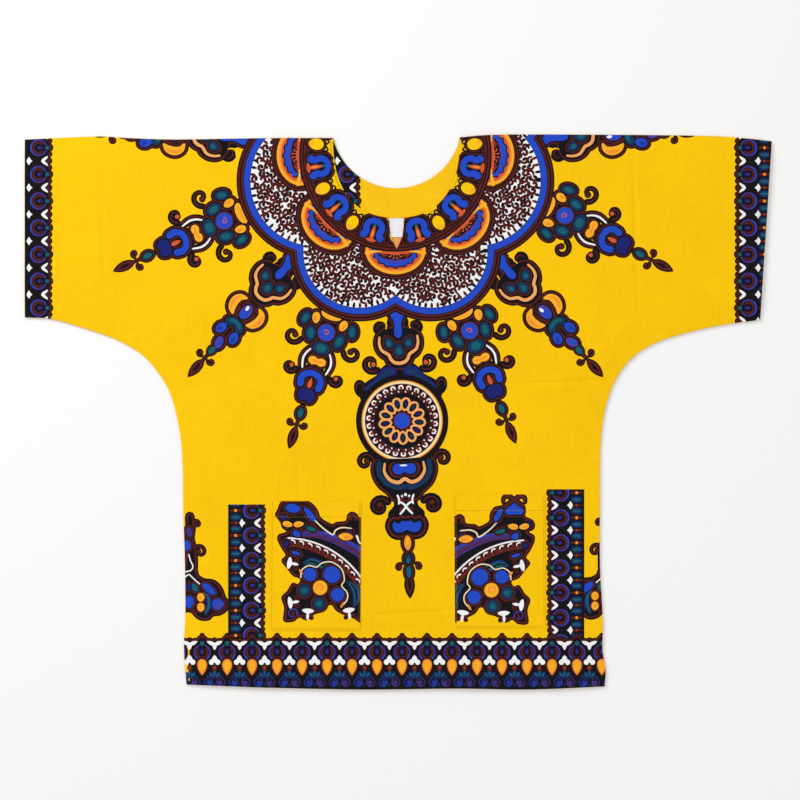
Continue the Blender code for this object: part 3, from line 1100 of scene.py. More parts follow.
    # White mushrooms at the outer and the lower edge
    for x, y, turn in ((-99, -92, 100), (-98, -36, 82), (-77, -19, 184), (-17, -20, 172)):
        cap = Draft()
        cap.top(seed(0, 4.2, 7.6, 17.5, 90, 0.2, 0.8, 18), WHITE)
        cap.top(seed(0, -3, 12, 4.2, 90, 0.3, 0.3, 12), WHITE)
        for side in (-1, 1):
            cap.add(disc(side * 5.6, -5.2, 3.6, 12), BROWN)
            cap.add(disc(side * 5.6, -5.2, 1.9, 9), BLACK)
        art.join(cap.moved(x, y, turn))
    for x, y, turn in ((-87, -80, 58), (-27, -32, -60)):
        art.top(seed(x, y, 9.5, 3.4, turn, n=12), ORANGE)
    art.add(ribbon(spiral(-99, -20, 7.2, 20, -320, 0.35, 18), 3.0, 2.2), Ink.PLUM)
    art.add(seed(-98, -20, 7, 4, -60, 0.3, n=12), BROWN)
    # Leaves and seeds at the top outer corner
    if bud:
        horns = smooth([
            (-76, -184), (-77, -191), (-84, -193), (-92, -188), (-100, -193), (-107, -191), (-108, -184)
        ])
        art.add(ribbon(horns, 6, 6, 9), BLACK, OUTER)
        art.add(ribbon(horns, 1.8, 1.8, 4.2), BROWN, LINE)
        onion = even([(0.1, -10), (4, -6), (11, -1.5), (13.4, 4), (9, 7.6), (0.1, 7.4)], 2) + [-92, -174]
        art.leaf(onion, BLUE, 3.6, 2.0)
        top = [(-69, -166, 22, 8, -120, BLUE), (-112, -151, 11, 8, 50, NAVY)]
    else:
        top = [(-98, -172, 22, 13, 8, BLUE), (-74, -163, 26, 9, -128, BLUE), (-112, -158, 11, 8, 50, NAVY)]
    for x, y, length, width, turn, ink in (
        *top,
        (-93, -135, 12, 9, 30, BLUE), (-72, -142, 16, 6, 16, TEAL), (-108, -121, 9, 7, 90, NAVY),
        (-94, -107, 14, 5, 18, BLUE), (-84, -147, 9, 5, 40, DEEP), (-14, -137, 8, 4, 60, NAVY),
    ):
        art.leaf(seed(x, y, length, width, turn, 0.25, n=22), ink, 3.6, 2.0)
    for x, turn in ((-106, 12), (-90, -8)):
        bulb = seed(x, -149, 15, 8.6, turn, 0.4, n=18)
        art.top(grown(bulb, 2.0), BLACK).top(bulb, AMBER)
        art.top(seed(x - 1, -148, 8, 3.4, turn, n=12), ORANGE)
    wave = smooth(
        [(-66, -154), (-58, -146), (-48, -138), (-40, -134), (-37, -140), (-28, -144), (-14, -143)], 2
    )
    art.add(ribbon(wave, 1.6, 1.6, 2.2), Ink.CREAM)
    lens = seed(-22, -131, 21, 10.5, 4, 0.5, 0.5, 22)
    art.add(grown(lens, 2.2), BROWN)
    art.add(lens, AMBER)
    art.add(seed(-20, -130, 13, 5.4, 4, 0.5, 0.5, 16), ORANGE)
    art.add(ribbon(smooth([(-6, -132), (-2, -122), (4, -120)], 2), 3.0, 2.0), WHITE)
    return art


@dataclass(frozen=True)
class Hang:
    """Where a pendant hangs: its root, from the fold's middle, and its turn from straight down."""

    x: float
    y: float
    turn: float


PALMETTES = (
    Hang(-134.5, 157.8, 41.8), Hang(131.5, 157.8, -41.8), Hang(-197.5, -0.7, 92), Hang(188.5, -0.7, -92)
)
ROSETTES = (
    Hang(-210.5, 101.5, 65.6), Hang(205.7, 91.8, -62.8), Hang(-88.6, 240.3, 17.8), Hang(89.6, 238.6, -22.3)
)
RING_DROP = 24.4


def panel_print(drop: float) -> Draft:
    """A panel's yoke, pendants, cuff bands and hem band, across from the middle and down from the fold.

    Args:
        drop: how far the yoke's ring has its middle below the fold.

    Returns:
        The drawing in millimetres.
    """
    art = Draft()
    for place in PALMETTES:
        art.join(diagonal_pendant().moved(place.x, place.y, place.turn))
    for place in ROSETTES:
        art.join(rosette_pendant().moved(place.x, place.y, place.turn))
    art.join(centre_pendant().moved(0, 229, -2.6))
    art.join(yoke(drop).moved(-1.5, lift=10))
    art.join(hem_band(616, 36.2).moved(8, 796, 180, lift=60))
    art.join(chain(275, 38.7, False, 21).moved(-530.5, -8, lift=40))
    art.join(chain(275, 38.7, True, 21).mirrored().moved(522, -8, lift=40))
    return art


def seam_motif() -> Draft:
    """The end of a leafy spray that a side seam cuts off.

    Returns:
        The drawing about the amber pair in it: the spray rises on the left and its bud points right.
    """
    art = Draft()
    stem = smooth([(-16, -124), (-15, -106), (-17, -92), (-14, -76), (-14, -60), (-16, -40)], 3)
    body = smooth(
        [
            (
                -40, -45
            ), (-9, -45), (-4, -38), (5, -32.5), (17, -31), (25, -26), (31, -17), (35, -6), (41, 2), (37, 11),
            (28, 17), (17, 19), (12, 24), (3, 25), (-5, 22), (-12, 15), (-18, 12.6), (-40, 12),
        ],
        closed=True,
    )
    for by, ink, layer in ((2.4, BLACK, OUTER), (-0.2, BROWN, LINE), (-2.2, BLACK, INNER)):
        art.add(grown(body, by), ink, layer)
        art.add(ribbon(stem, 10 + 2 * by, 19 + 2 * by, 13 + 2 * by), ink, layer)
    art.join(curl(-6, -113, 6.0, -150, 330, 5.2, BROWN))
    art.join(curl(-1, -73, 9.6, -160, 360, 6.4, BROWN))
    for x, y, length, width, turn, ink in (
        (-17, -101, 15, 9, 80, Ink.PLUM), (-20, -82, 15, 11, 80, BLUE), (12, -19, 24, 10, 40, BLUE),
        (-9, -21, 13, 9, 60, TEAL), (-17, 0, 18, 14, 90, BLUE), (25, 3, 17, 16, 0, BLUE),
        (-18, -22, 11, 8, 80, NAVY),
    ):
        leaf = seed(x, y, length, width, turn, 0.25, n=22)
        art.add(grown(leaf, 4.2), BLACK, FILL)
        art.leaf(leaf, ink, 2.8, 1.2)
    art.top(disc(26, 5, 4.4, 14), Ink.VIOLET)
    band = smooth([(5, -14), (10.5, -7), (11.5, 5), (7, 17)])
    art.add(ribbon(band, 3, 4, 8.4), NAVY)
    art.add(ribbon(band, 1, 1.6, 3.6), TEAL)
    for y in (-7, 7.4):
        blob = seed(0, y, 12.5, 10.4, 90, 0.1, n=20)
        art.add(grown(blob, 2.0), BROWN)
        art.top(blob, AMBER)
        art.top(seed(-0.6, y, 7, 3, 80, n=12), ORANGE)
    for line in (
        [
            (-17.5, -69), (-15, -60), (-11.5, -52), (-14.5, -46), (-22, -44)
        ], [(-23, -36), (-17.5, -40), (-11.6, -35), (-2, -26.5)],
    ):
        art.top(ribbon(smooth(line, 2.4), 1.8, 1.8), WHITE)
    art.add(ribbon(spiral(-10, 13.6, 4.2, 0, 300, 0.5, 14), 1.6, 1.6), BROWN)
    return art


def front_print() -> Draft:
    """The front's print: the panel's, with an upright border and a cut motif on each side of the pockets.

    Returns:
        The drawing.
    """
    art = panel_print(RING_DROP)
    art.join(chain(230, 36.2, True).moved(-222, 530, lift=40))
    art.join(chain(250, 36.2, True, 5).mirrored().moved(250, 508, lift=40))
    art.join(seam_motif().moved(-283.5, 671.5, lift=30))
    art.join(seam_motif().mirrored().moved(287.5, 669.5, lift=30))
    return art


def back_print() -> Draft:
    """The back's print: the same yoke, with the ring carried on over the shoulder fold."""
    return panel_print(-RING_DROP)


def facing_print() -> Draft:
    """The border's end that was caught in the facing's cut, at its left end."""
    return chain(110, 38.7, False).moved(-84, 4)


# ---- the cut


@dataclass(frozen=True)
class Fold:
    """A soft ridge, or a trough where its height is negative: middle, heading, reach, width, height."""

    x: float
    y: float
    heading: float
    reach: float
    width: float
    height: float


@dataclass(frozen=True)
class Pattern:
    """The shirt's cut in metres: x out from the centre front, y up from the shoulder fold."""

    step: float = 0.006
    neck_half_width: float = 0.0918
    back_neck_drop: float = 0.0718
    front_neck_drop: float = 0.1145
    squareness: float = 2.4
    notch_half_width: float = 0.0118
    notch_waist: float = 0.0085
    notch_waist_drop: float = 0.0275
    notch_depth: float = 0.0465
    facing_depth: float = 0.043
    shoulder_left: Knots = (
        (-0.0918, 0.001), (-0.2, 0.0007), (-0.32, -0.0011), (-0.39, 0.001), (-0.436, 0.0032),
        (-0.5387, -0.0012),
    )
    shoulder_right: Knots = (
        (0.5438, -0.0036), (0.504, 0.0007), (0.45, 0.004), (0.3, 0.0058), (0.15, 0.0058),
        (0.0918, 0.002),
    )
    underarm_left: Knots = (
        (-0.5387, -0.2588), (-0.498, -0.2617), (-0.4357, -0.28), (-0.4009, -0.2936), (-0.369, -0.313),
        (-0.3455, -0.339), (-0.329, -0.367), (-0.319, -0.4), (-0.3125, -0.435), (-0.3096, -0.48),
        (-0.309, -0.54), (-0.3067, -0.611), (-0.306, -0.69), (-0.308, -0.738), (-0.3045, -0.791),
    )
    underarm_right: Knots = (
        (0.3016, -0.7938), (0.303, -0.77), (0.2985, -0.74), (0.299, -0.698), (0.295, -0.62),
        (0.2946, -0.524), (0.295, -0.46), (0.2975, -0.42), (0.304, -0.385), (0.318, -0.348),
        (0.34, -0.319), (0.369, -0.299), (0.41, -0.284), (0.469, -0.2704), (0.527, -0.2625),
    )
    hem: Knots = (
        (-0.3045, -0.791), (-0.19, -0.7953), (-0.05, -0.7982), (0.09, -0.7968), (0.19, -0.7982),
        (0.3016, -0.7938),
    )

    def neck_circle(self) -> tuple[float, float]:
        """Height of the centre, and radius, of the back neck's arc."""
        radius = (self.neck_half_width**2 + self.back_neck_drop**2) / (2 * self.back_neck_drop)
        return radius - self.back_neck_drop, radius

    def back_neck(self, extra: float = 0.0) -> Array:
        """The back neckline from right to left.

        Args:
            extra: how far out from the neck the line is moved.

        Returns:
            Points on an arc about the neck's centre.
        """
        centre, radius = self.neck_circle()
        reach = math.asin(self.neck_half_width / radius)
        turn = np.linspace(reach, -reach, 45)
        return np.column_stack([(radius + extra) * np.sin(turn), centre - (radius + extra) * np.cos(turn)])

    def front_neck(self) -> Array:
        """The front neckline from right to left: a squared ellipse with a V notch at its low point.

        Returns:
            Points from the right neck point, by the notch's tip, to the left one.
        """
        turn = np.linspace(0, math.pi / 2, 45)
        power = 2 / self.squareness
        across = self.neck_half_width * np.cos(turn) ** power
        drop = self.front_neck_drop * np.sin(turn) ** power
        keep = across > self.notch_half_width * 1.3
        notch = (
            (self.notch_half_width, -self.front_neck_drop - 0.0012),
            (self.notch_waist, -self.front_neck_drop - self.notch_waist_drop),
        )
        right = np.vstack([np.column_stack([across, -drop])[keep], notch])
        tip = (0.0, -self.front_neck_drop - self.notch_depth)
        return np.vstack([right, [tip], (right * [-1, 1])[::-1]])

    def cuff(self, left: bool) -> Array:
        """One sleeve opening, a straight line between its two corners.

        Args:
            left: which of the two.

        Returns:
            Points down the left one, or up the right one.
        """
        if left:
            return smooth((self.shoulder_left[-1], self.underarm_left[0]), self.step)
        return smooth((self.underarm_right[-1], self.shoulder_right[0]), self.step)

    def outline(self, neckline: Array) -> Array:
        """A whole panel, anticlockwise from its left hem corner.

        Args:
            neckline: its neck edge from right to left.

        Returns:
            One closed outline.
        """
        neck = np.vstack([[self.shoulder_right[-1]], neckline[1:-1], [self.shoulder_left[0]]])
        stretches = (
            smooth(self.hem, self.step),
            smooth(self.underarm_right, self.step),
            self.cuff(False),
            smooth(self.shoulder_right, self.step),
            neck,
            smooth(self.shoulder_left, self.step),
            self.cuff(True),
            smooth(self.underarm_left, self.step),
        )
        return np.vstack([stretch[:-1] for stretch in stretches])

    def facing(self) -> Array:
        """The facing's outline: a band along the back neckline that ends at the shoulder fold.

        Returns:
            One closed outline.
        """
        outer = self.back_neck(self.facing_depth)
        outer = outer[outer[:, 1] < 0]
        right, left = (outer[0][0] + 0.003, 0.0), (outer[-1][0] - 0.003, 0.0)
        return np.vstack([self.back_neck(), [left], outer[::-1], [right]])


PATTERN = Pattern()
FRONT_LOW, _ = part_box("front")
SHIFT = np.array(FRONT_LOW[:2]) - PATTERN.outline(PATTERN.back_neck()).min(0)


# ---- how the layers lie


def nearest(points: Array, line: Array) -> Array:
    """Distance from each point to the nearest straight stretch of an open line.

    Args:
        points: places in plan.
        line: the line's corners in order.

    Returns:
        One distance for each point.
    """
    start = line[:-1]
    run = line[1:] - start
    square = np.maximum((run**2).sum(1), 1e-18)
    best = np.empty(len(points))
    for low in range(0, len(points), 20000):
        away = points[low : low + 20000, None] - start[None]
        along = np.clip((away * run).sum(2) / square, 0, 1)
        best[low : low + 20000] = np.sqrt(((away - along[..., None] * run) ** 2).sum(2).min(1))
    return best


def line_gap(points: Array, line: Array, reach: float) -> Array:
    """Distance from each point to an open line, worked out only where it is under reach.

    Args:
        points: places in plan.
        line: the line's corners in order.
        reach: the distance past which the exact value doesn't matter.

    Returns:
        One distance for each point, or reach where it is further.
    """
    gap = np.full(len(points), reach)
    for low in range(0, len(line) - 1, 8):
        stretch = line[low : low + 9]
        box = (points > stretch.min(0) - reach).all(1) & (points < stretch.max(0) + reach).all(1)
        if box.any():
            gap[box] = np.minimum(gap[box], nearest(points[box], stretch))
    return gap


def edge_gap(points: Array, outline: Array, reach: float) -> Array:
    """Distance from each point to a closed outline, as line_gap gives it."""
    return line_gap(points, np.vstack([outline, outline[:1]]), reach)


def smoothstep(t: Array) -> Array:
    """0 below 0, 1 above 1, with a soft start and end between."""
    t = np.clip(t, 0, 1)
    return t * t * (3 - 2 * t)


@dataclass(frozen=True)
class Lie:
    """How high the upper layer lies above the floor."""

    cad_wall: float = 0.001
    seam_gap: float = 0.0003
    inner_rise: float = 0.0013
    rise_width: float = 0.03
    neck_reach: float = 0.165
    neck_fade: float = 0.035
    edge_radius: float = 0.0011
    edge_calm: float = 0.02
    narrow: float = 0.0061
    folds: tuple[Fold, ...] = (
        Fold(-0.33, -0.3, 128, 0.11, 0.016, 0.0012), Fold(-0.27, -0.345, 112, 0.12, 0.018, 0.001),
        Fold(0.315, -0.29, 55, 0.105, 0.017, 0.0012), Fold(0.245, -0.36, 72, 0.13, 0.02, 0.0009),
        Fold(-0.425, -0.13, 88, 0.12, 0.022, 0.0008), Fold(0.346, -0.14, 91, 0.13, 0.018, 0.0009),
        Fold(0.246, -0.352, 3, 0.11, 0.02, 0.0007), Fold(-0.14, -0.46, 92, 0.16, 0.026, 0.0008),
        Fold(0.02, -0.69, 1, 0.15, 0.02, 0.0008), Fold(-0.195, -0.77, 84, 0.06, 0.028, 0.0012),
        Fold(0.105, -0.775, 96, 0.055, 0.032, 0.001), Fold(0.235, -0.765, 88, 0.06, 0.024, 0.0011),
    )
    creases: tuple[Fold, ...] = (
        Fold(-0.424, -0.128, 89, 0.135, 0.004, -0.0006), Fold(-0.436, -0.15, 93, 0.09, 0.006, 0.0004),
        Fold(0.346, -0.135, 90.5, 0.15, 0.0034, -0.0008), Fold(0.246, -0.352, 1, 0.125, 0.0026, -0.0009),
        Fold(0.2, -0.366, 4, 0.07, 0.006, 0.0004), Fold(-0.141, -0.508, 91, 0.075, 0.0034, -0.0006),
        Fold(0.016, -0.687, 1.5, 0.1, 0.003, -0.0008), Fold(-0.3, -0.33, 136, 0.07, 0.006, -0.0005),
        Fold(-0.345, -0.268, 148, 0.08, 0.007, 0.0004), Fold(0.3, -0.318, 48, 0.075, 0.006, -0.0005),
        Fold(0.352, -0.262, 33, 0.08, 0.007, 0.0004), Fold(-0.205, -0.3, 74, 0.09, 0.008, -0.0004),
        Fold(0.16, -0.44, 101, 0.11, 0.009, -0.0004),
    )

    def ridges(self, plan: Array, folds: tuple[Fold, ...]) -> Array:
        """Sum of soft ridges, each a bell across its heading that fades out along it.

        Args:
            plan: places on the pattern.
            folds: the ridges.

        Returns:
            One height for each place.
        """
        total = np.zeros(len(plan))
        for fold in folds:
            heading = math.radians(fold.heading)
            away = plan - [fold.x, fold.y]
            along = away @ [math.cos(heading), math.sin(heading)]
            across = away @ [-math.sin(heading), math.cos(heading)]
            bend = 0.015 * fold.reach * np.sin(along / fold.reach * 2.1)
            fade = 1 - smoothstep(np.abs(along) / fold.reach)
            total += fold.height * fade * np.exp(-(((across - bend) / fold.width) ** 2))
        return total

    def crease_points(self) -> Array:
        """Points in rows beside each narrow crease, where the surface bends most.

        Returns:
            The points that lie inside the front.
        """
        rows = []
        for fold in self.creases:
            if fold.width > self.narrow:
                continue
            heading = math.radians(fold.heading)
            along = np.arange(-fold.reach, fold.reach, 0.005)
            middle = np.outer(along, [math.cos(heading), math.sin(heading)]) + [fold.x, fold.y]
            for offset in (-2.0, -1.2, -0.5, 0.5, 1.2, 2.0):
                rows.append(middle + offset * fold.width * np.array([-math.sin(heading), math.cos(heading)]))
        points = np.vstack(rows)
        points = points[winding(points, FRONT_OUTLINE) != 0]
        return points[edge_gap(points, FRONT_OUTLINE, 0.01) > 0.004]

    def seam_gap_at(self, plan: Array) -> Array:
        """Distance from each place to the nearest side seam or shoulder fold, up to the rise's width."""
        seams = (PATTERN.underarm_left, PATTERN.underarm_right, PATTERN.shoulder_left, PATTERN.shoulder_right)
        return np.min([line_gap(plan, smooth(seam, 0.014), self.rise_width) for seam in seams], axis=0)

    def base(self, plan: Array) -> Array:
        """Height of the front's lower face, close to the back at seams and folds.

        Args:
            plan: places on the pattern.

        Returns:
            One height for each place, in metres above the floor.
        """
        body = smoothstep(self.seam_gap_at(plan) / self.rise_width)
        centre, _ = PATTERN.neck_circle()
        from_neck = np.hypot(plan[:, 0], plan[:, 1] - centre)
        neck = 1 - smoothstep((from_neck - self.neck_reach) / self.neck_fade)
        rise = self.inner_rise * np.maximum(body, neck)
        return self.cad_wall + self.seam_gap + rise + body * self.ridges(plan, self.folds)

    def top(self, plan: Array) -> Array:
        """Height of the front's upper face with its creases and its rolled edge.

        Args:
            plan: places on the pattern.

        Returns:
            One height for each place.
        """
        height = self.base(plan) + self.cad_wall
        away = edge_gap(plan, FRONT_OUTLINE, self.edge_calm)
        inner = smoothstep(away / self.edge_calm)
        short = np.clip(1 - away / self.edge_radius, 0, 1)
        roll = self.edge_radius * (1 - np.sqrt(1 - 0.96 * short**2))
        return height + inner * self.ridges(plan, self.creases) - roll * 0.75


FRONT_OUTLINE = PATTERN.outline(PATTERN.front_neck())
BACK_OUTLINE = PATTERN.outline(PATTERN.back_neck())
LIE = Lie()


# ---- cutting cloth along its print


def winding(points: Array, outline: Array) -> Array:
    """How often a closed outline goes round each point, by its crossings of the level line through it.

    Args:
        points: places to test.
        outline: the outline's corners in order.

    Returns:
        A whole number for each point, positive inside an anticlockwise outline.
    """
    x, y = points[:, :1], points[:, 1:]
    ax, ay = outline.T
    bx, by = np.roll(outline, -1, 0).T
    side = (bx - ax) * (y - ay) - (x - ax) * (by - ay)
    up = (ay <= y) & (by > y) & (side > 0)
    down = (ay > y) & (by <= y) & (side < 0)
    return up.sum(1) - down.sum(1)


def signed_area(points: Array) -> float:
    """Area of a closed outline, positive where it runs anticlockwise."""
    x, y = points.T
    return float((x * np.roll(y, -1) - y * np.roll(x, -1)).sum() / 2)


def web(outline: Array, spacing: float) -> Array:
    """Staggered points over an outline's box that lie well inside it.

    Args:
        outline: the closed outline.
        spacing: the distance between points.

    Returns:
        The points.
    """
    low, high = outline.min(0), outline.max(0)
    x = np.arange(low[0], high[0], spacing)
    y = np.arange(low[1], high[1], spacing * math.sqrt(0.75))
    grid_x, grid_y = np.meshgrid(x, y)
    grid_x[1::2] += spacing / 2
    points = np.column_stack([grid_x.ravel(), grid_y.ravel()])
    points = points[winding(points, outline) != 0]
    return points[edge_gap(points, outline, spacing) > spacing * 0.4]


@dataclass
class Net:
    """Triangles in plan, with the dye of each."""

    plan: Array
    triangles: Numbers
    dye: Array

    def ring(self) -> Numbers:
        """The corners along the net's outer edge, in order.

        Returns:
            Point numbers, anticlockwise.
        """
        t = self.triangles
        edges = np.vstack([t[:, [0, 1]], t[:, [1, 2]], t[:, [2, 0]]])
        key = np.sort(edges, axis=1)
        _, first, count = np.unique(key, axis=0, return_index=True, return_counts=True)
        loose = edges[first[count == 1]]
        follow = dict(loose.tolist())
        start = here = int(loose[0, 0])
        ring = [here]
        while (here := follow[here]) != start:
            ring.append(here)
        if len(ring) != len(loose):
            raise ValueError(f"the net's edge is {len(loose)} long and its ring {len(ring)}")
        return np.array(ring)


def seen_edges(shapes: list[Array]) -> list[NDArray[np.bool_]]:
    """Which edges of each shape show. An edge is hidden where its start, middle and end lie in a later one.

    Args:
        shapes: closed outlines from the first laid to the last.

    Returns:
        One flag for each edge of each shape.
    """
    start = np.vstack(shapes)
    end = np.vstack([np.roll(shape, -1, 0) for shape in shapes])
    owner = np.repeat(np.arange(len(shapes)), [len(shape) for shape in shapes])
    order = np.argsort(start[:, 0])
    start, end, owner = start[order], end[order], owner[order]
    shown = np.ones(len(start), bool)
    for index, shape in enumerate(shapes):
        low, high = shape.min(0), shape.max(0)
        first, last = np.searchsorted(start[:, 0], [low[0], high[0]])
        near = np.arange(first, last)
        near = near[shown[near] & (owner[near] < index)]
        near = near[np.minimum(start[near, 1], end[near, 1]) > low[1]]
        near = near[np.maximum(start[near, 1], end[near, 1]) < high[1]]
        for place in (start, end, (start + end) / 2):
            near = near[winding(place[near], shape) > 0]
        shown[near] = False
    flags = np.empty(len(start), bool)
    flags[order] = shown
    return np.split(flags, np.cumsum([len(shape) for shape in shapes])[:-1])


def divide(
    outline: Array, loose: Array, rims: list[Array], shown: Sequence[NDArray[
        np.bool_
    ]] = (), gap: float = 1e-7
) -> tuple[Array, Numbers]:
    """Divides an outline into triangles that keep every given edge.

    Args:
        outline: the closed outer edge.
        loose: free points inside it.
        rims: closed lines that the triangles' edges follow.
        shown: for the first rims, which of their edges count.
        gap: the distance at which points are taken as one.

    Returns:
        The points, and the triangles as anticlockwise point numbers.
    """
    points = np.vstack([outline, *rims, loose])
    edges = []
    at = len(outline)
    for index, rim in enumerate(rims):
        number = np.arange(at, at + len(rim))
        ends = np.column_stack([number, np.roll(number, -1)])
        edges.append(ends[shown[index]] if index < len(shown) else ends)
        at += len(rim)
    links = np.vstack(edges) if edges else np.empty((0, 2), int)
    used = np.concatenate([np.arange(len(outline)), np.unique(links), np.arange(at, len(points))])
    place = np.full(len(points), -1)
    place[used] = np.arange(len(used))
    points = points[used]
    links = place[links].tolist()
    face = list(range(len(outline)))
    verts, _, faces, _, _, _ = delaunay_2d_cdt([Vector(p) for p in points.tolist()], links, [face], 1, gap)
    plan = np.array([v[:] for v in verts])
    triangles = np.array(faces)
    triangles = triangles[winding(plan[triangles].mean(1), outline) != 0]
    kept, numbers = np.unique(triangles, return_inverse=True)
    return plan[kept], numbers.reshape(-1, 3)


def print_net(
    outline: Array, art: Draft, spacing: float, lines: Sequence[Array] = (), close: Sequence[Array] = ()
) -> Net:
    """A panel's surface cut along its print. A triangle's dye is that of the last form over its middle.

    Args:
        outline: the panel's outline in metres.
        art: the print in metres.
        spacing: the distance between the free points.
        lines: further closed lines that the cloth bends along.
        close: further sets of points, where the cloth bends sharply.

    Returns:
        The cut surface.
    """
    low, high = outline.min(0), outline.max(0)
    forms = []
    for _, shape, ink in art.ordered():
        if (shape.max(0) < low).any() or (shape.min(0) > high).any():
            continue
        if signed_area(shape) < 0:
            shape = shape[::-1]
        if (winding(shape, outline) != 0).any() or (winding(outline, shape) != 0).any():
            forms.append((shape, ink))
    shapes = [shape for shape, _ in forms]
    loose = np.vstack([web(outline, spacing), *close])
    plan, triangles = divide(outline, loose, [*shapes, *lines], seen_edges(shapes))
    middle = plan[triangles].mean(1)
    order = np.argsort(middle[:, 0])
    sorted_middle = middle[order]
    across = sorted_middle[:, 0]
    dye = np.tile(np.array(Ink.GROUND.value), (len(triangles), 1))
    free = np.ones(len(triangles), bool)
    for shape, ink in reversed(forms):
        first, last = np.searchsorted(across, [shape[:, 0].min(), shape[:, 0].max()])
        near = np.arange(first, last)[free[first:last]]
        height = sorted_middle[near, 1]
        near = near[(height > shape[:, 1].min()) & (height < shape[:, 1].max())]
        if len(near) == 0:
            continue
        hit = near[winding(sorted_middle[near], shape) > 0]
        dye[order[hit]] = ink.value
        free[hit] = False
    return Net(plan, triangles, dye)


@dataclass
class Shell:
    """A closed piece of cloth: an upper and a lower face with a wall along the edge between them."""

    name: str
    wall: float = 0.0006

    def lining(self, net: Net, spacing: float, dye: tuple[float, float, float]) -> Net:
        """A coarser net with the same edge, for the face that isn't printed in full.

        Args:
            net: the printed face.
            spacing: the distance between the free points.
            dye: the colour of the whole face.

        Returns:
            The other face's net. Its first points are the printed net's ring.
        """
        ring = net.plan[net.ring()]
        plan, triangles = divide(ring, web(ring, spacing), [], gap=1e-9)
        if not np.allclose(plan[: len(ring)], ring, atol=1e-7):
            raise ValueError(f"{self.name}: the lining's edge left the face's edge")
        return Net(plan, triangles, np.tile(np.array(dye), (len(triangles), 1)))

    def build(
        self, face: Net, lining: Net, face_z: Array, lining_z: Array, normals: Array,
        finish: bpy.types.Material, down: bool = False,
    ) -> Piece:
        """Joins the faces by a wall: one quadrilateral, cut in two, for each stretch of the edge.

        Args:
            face: the printed face's net.
            lining: the other face's net.
            face_z: the printed points' heights.
            lining_z: the other points' heights.
            normals: the printed points' directions.
            finish: the cloth's material.
            down: whether the printed face looks down.

        Returns:
            The piece, placed in the shared frame.
        """
        near, far = face.ring(), lining.ring()
        start = np.argmin(np.linalg.norm(lining.plan[far] - face.plan[near[0]], axis=1))
        far = np.roll(far, -start)
        if len(near) != len(far) or not np.allclose(lining.plan[far], face.plan[near], atol=1e-6):
            raise ValueError(f"{self.name}: the two faces' edges differ")
        far = far + len(face.plan)
        next_near, next_far = np.roll(near, -1), np.roll(far, -1)
        wall = np.vstack([
            np.column_stack([near, far, next_far]), np.column_stack([near, next_far, next_near])
        ])
        plan = np.vstack([face.plan, lining.plan]) + SHIFT
        co = np.column_stack([plan, np.concatenate([face_z, lining_z])])
        other = lining.triangles[:, ::-1] + len(face.plan)
        faces = np.vstack([face.triangles, other, wall])
        run = face.plan[np.roll(near, -1)] - face.plan[near]
        out = np.column_stack([run[:, 1], -run[:, 0], np.zeros(len(run))])
        out /= np.maximum(np.linalg.norm(out, axis=1), 1e-12)[:, None]
        # Painted shade: the edge wall takes the ground's colour darkened by a tenth.
        wall_painted_shade = np.tile(np.array(Ink.GROUND.value) * 0.9, (len(wall), 1))
        dye = np.vstack([face.dye, lining.dye, wall_painted_shade])
        back = np.tile([0.0, 0.0, -1.0], (other.size, 1))
        loops = np.vstack([
            normals[face.triangles.ravel()], back, np.repeat(np.vstack([out, out]), 3, axis=0)
        ])
        if down:
            faces = faces[:, ::-1]
            loops[: face.triangles.size + other.size, 2] *= -1
            loops = loops.reshape(-1, 3, 3)[:, ::-1].reshape(-1, 3)
        return piece_from(self.name, co, faces, dye, loops, finish)


def piece_from(
    name: str, co: Array, faces: Numbers, dye: Array, normals: Array | None, finish: bpy.types.Material
) -> Piece:
    """Puts whole arrays into a mesh, with a dye for every face.

    Args:
        name: the piece's name.
        co: the points.
        faces: triangles as point numbers.
        dye: one colour for each face.
        normals: one direction for each face corner, or none for the mesh's own.
        finish: the material.

    Returns:
        The new object.
    """
    mesh = bpy.data.meshes.new(name)
    mesh.vertices.add(len(co))
    mesh.vertices.foreach_set("co", co.astype(np.float32).ravel())
    mesh.loops.add(faces.size)
    mesh.loops.foreach_set("vertex_index", faces.astype(np.int32).ravel())
    mesh.polygons.add(len(faces))
    mesh.polygons.foreach_set("loop_start", np.arange(0, faces.size, 3, dtype=np.int32))
    mesh.update(calc_edges=True)
    mesh.shade_smooth()
    layer = mesh.color_attributes.new("dye", "FLOAT_COLOR", "CORNER")
    colour = np.ones((faces.size, 4), np.float32)
    colour[:, :3] = np.repeat(dye, 3, axis=0)
    layer.data.foreach_set("color", colour.ravel())
    if normals is not None:
        mesh.normals_split_custom_set(normals.astype(np.float32).tolist())
    mesh.materials.append(finish)
    piece = bpy.data.objects.new(name, mesh)
    bpy.context.scene.collection.objects.link(piece)
    return piece


def facing_up(plan: Array, height: Height) -> Array:
    """Directions square to a height function, from its slope over a short step each way.

    Args:
        plan: places on the pattern.
        height: the function that gives heights.

    Returns:
        One unit vector for each place.
    """
    reach = 0.0006
    slope_x = (height(plan + [reach, 0]) - height(plan - [reach, 0])) / (2 * reach)
    slope_y = (height(plan + [0, reach]) - height(plan - [0, reach])) / (2 * reach)
    up = np.column_stack([-slope_x, -slope_y, np.ones(len(plan))])
    return up / np.linalg.norm(up, axis=1)[:, None]


# ---- finishes


def link(tree: bpy.types.NodeTree, *pairs: tuple[bpy.types.NodeSocket, bpy.types.NodeSocket]) -> None:
    """Links each pair of sockets."""
    for source, target in pairs:
        tree.links.new(source, target)


def set_inputs(node: bpy.types.Node, **inputs: object) -> None:
    """Sets a node's inputs by name, each space an underline."""
    for name, value in inputs.items():
        node.inputs[name.replace("_", " ")].default_value = value


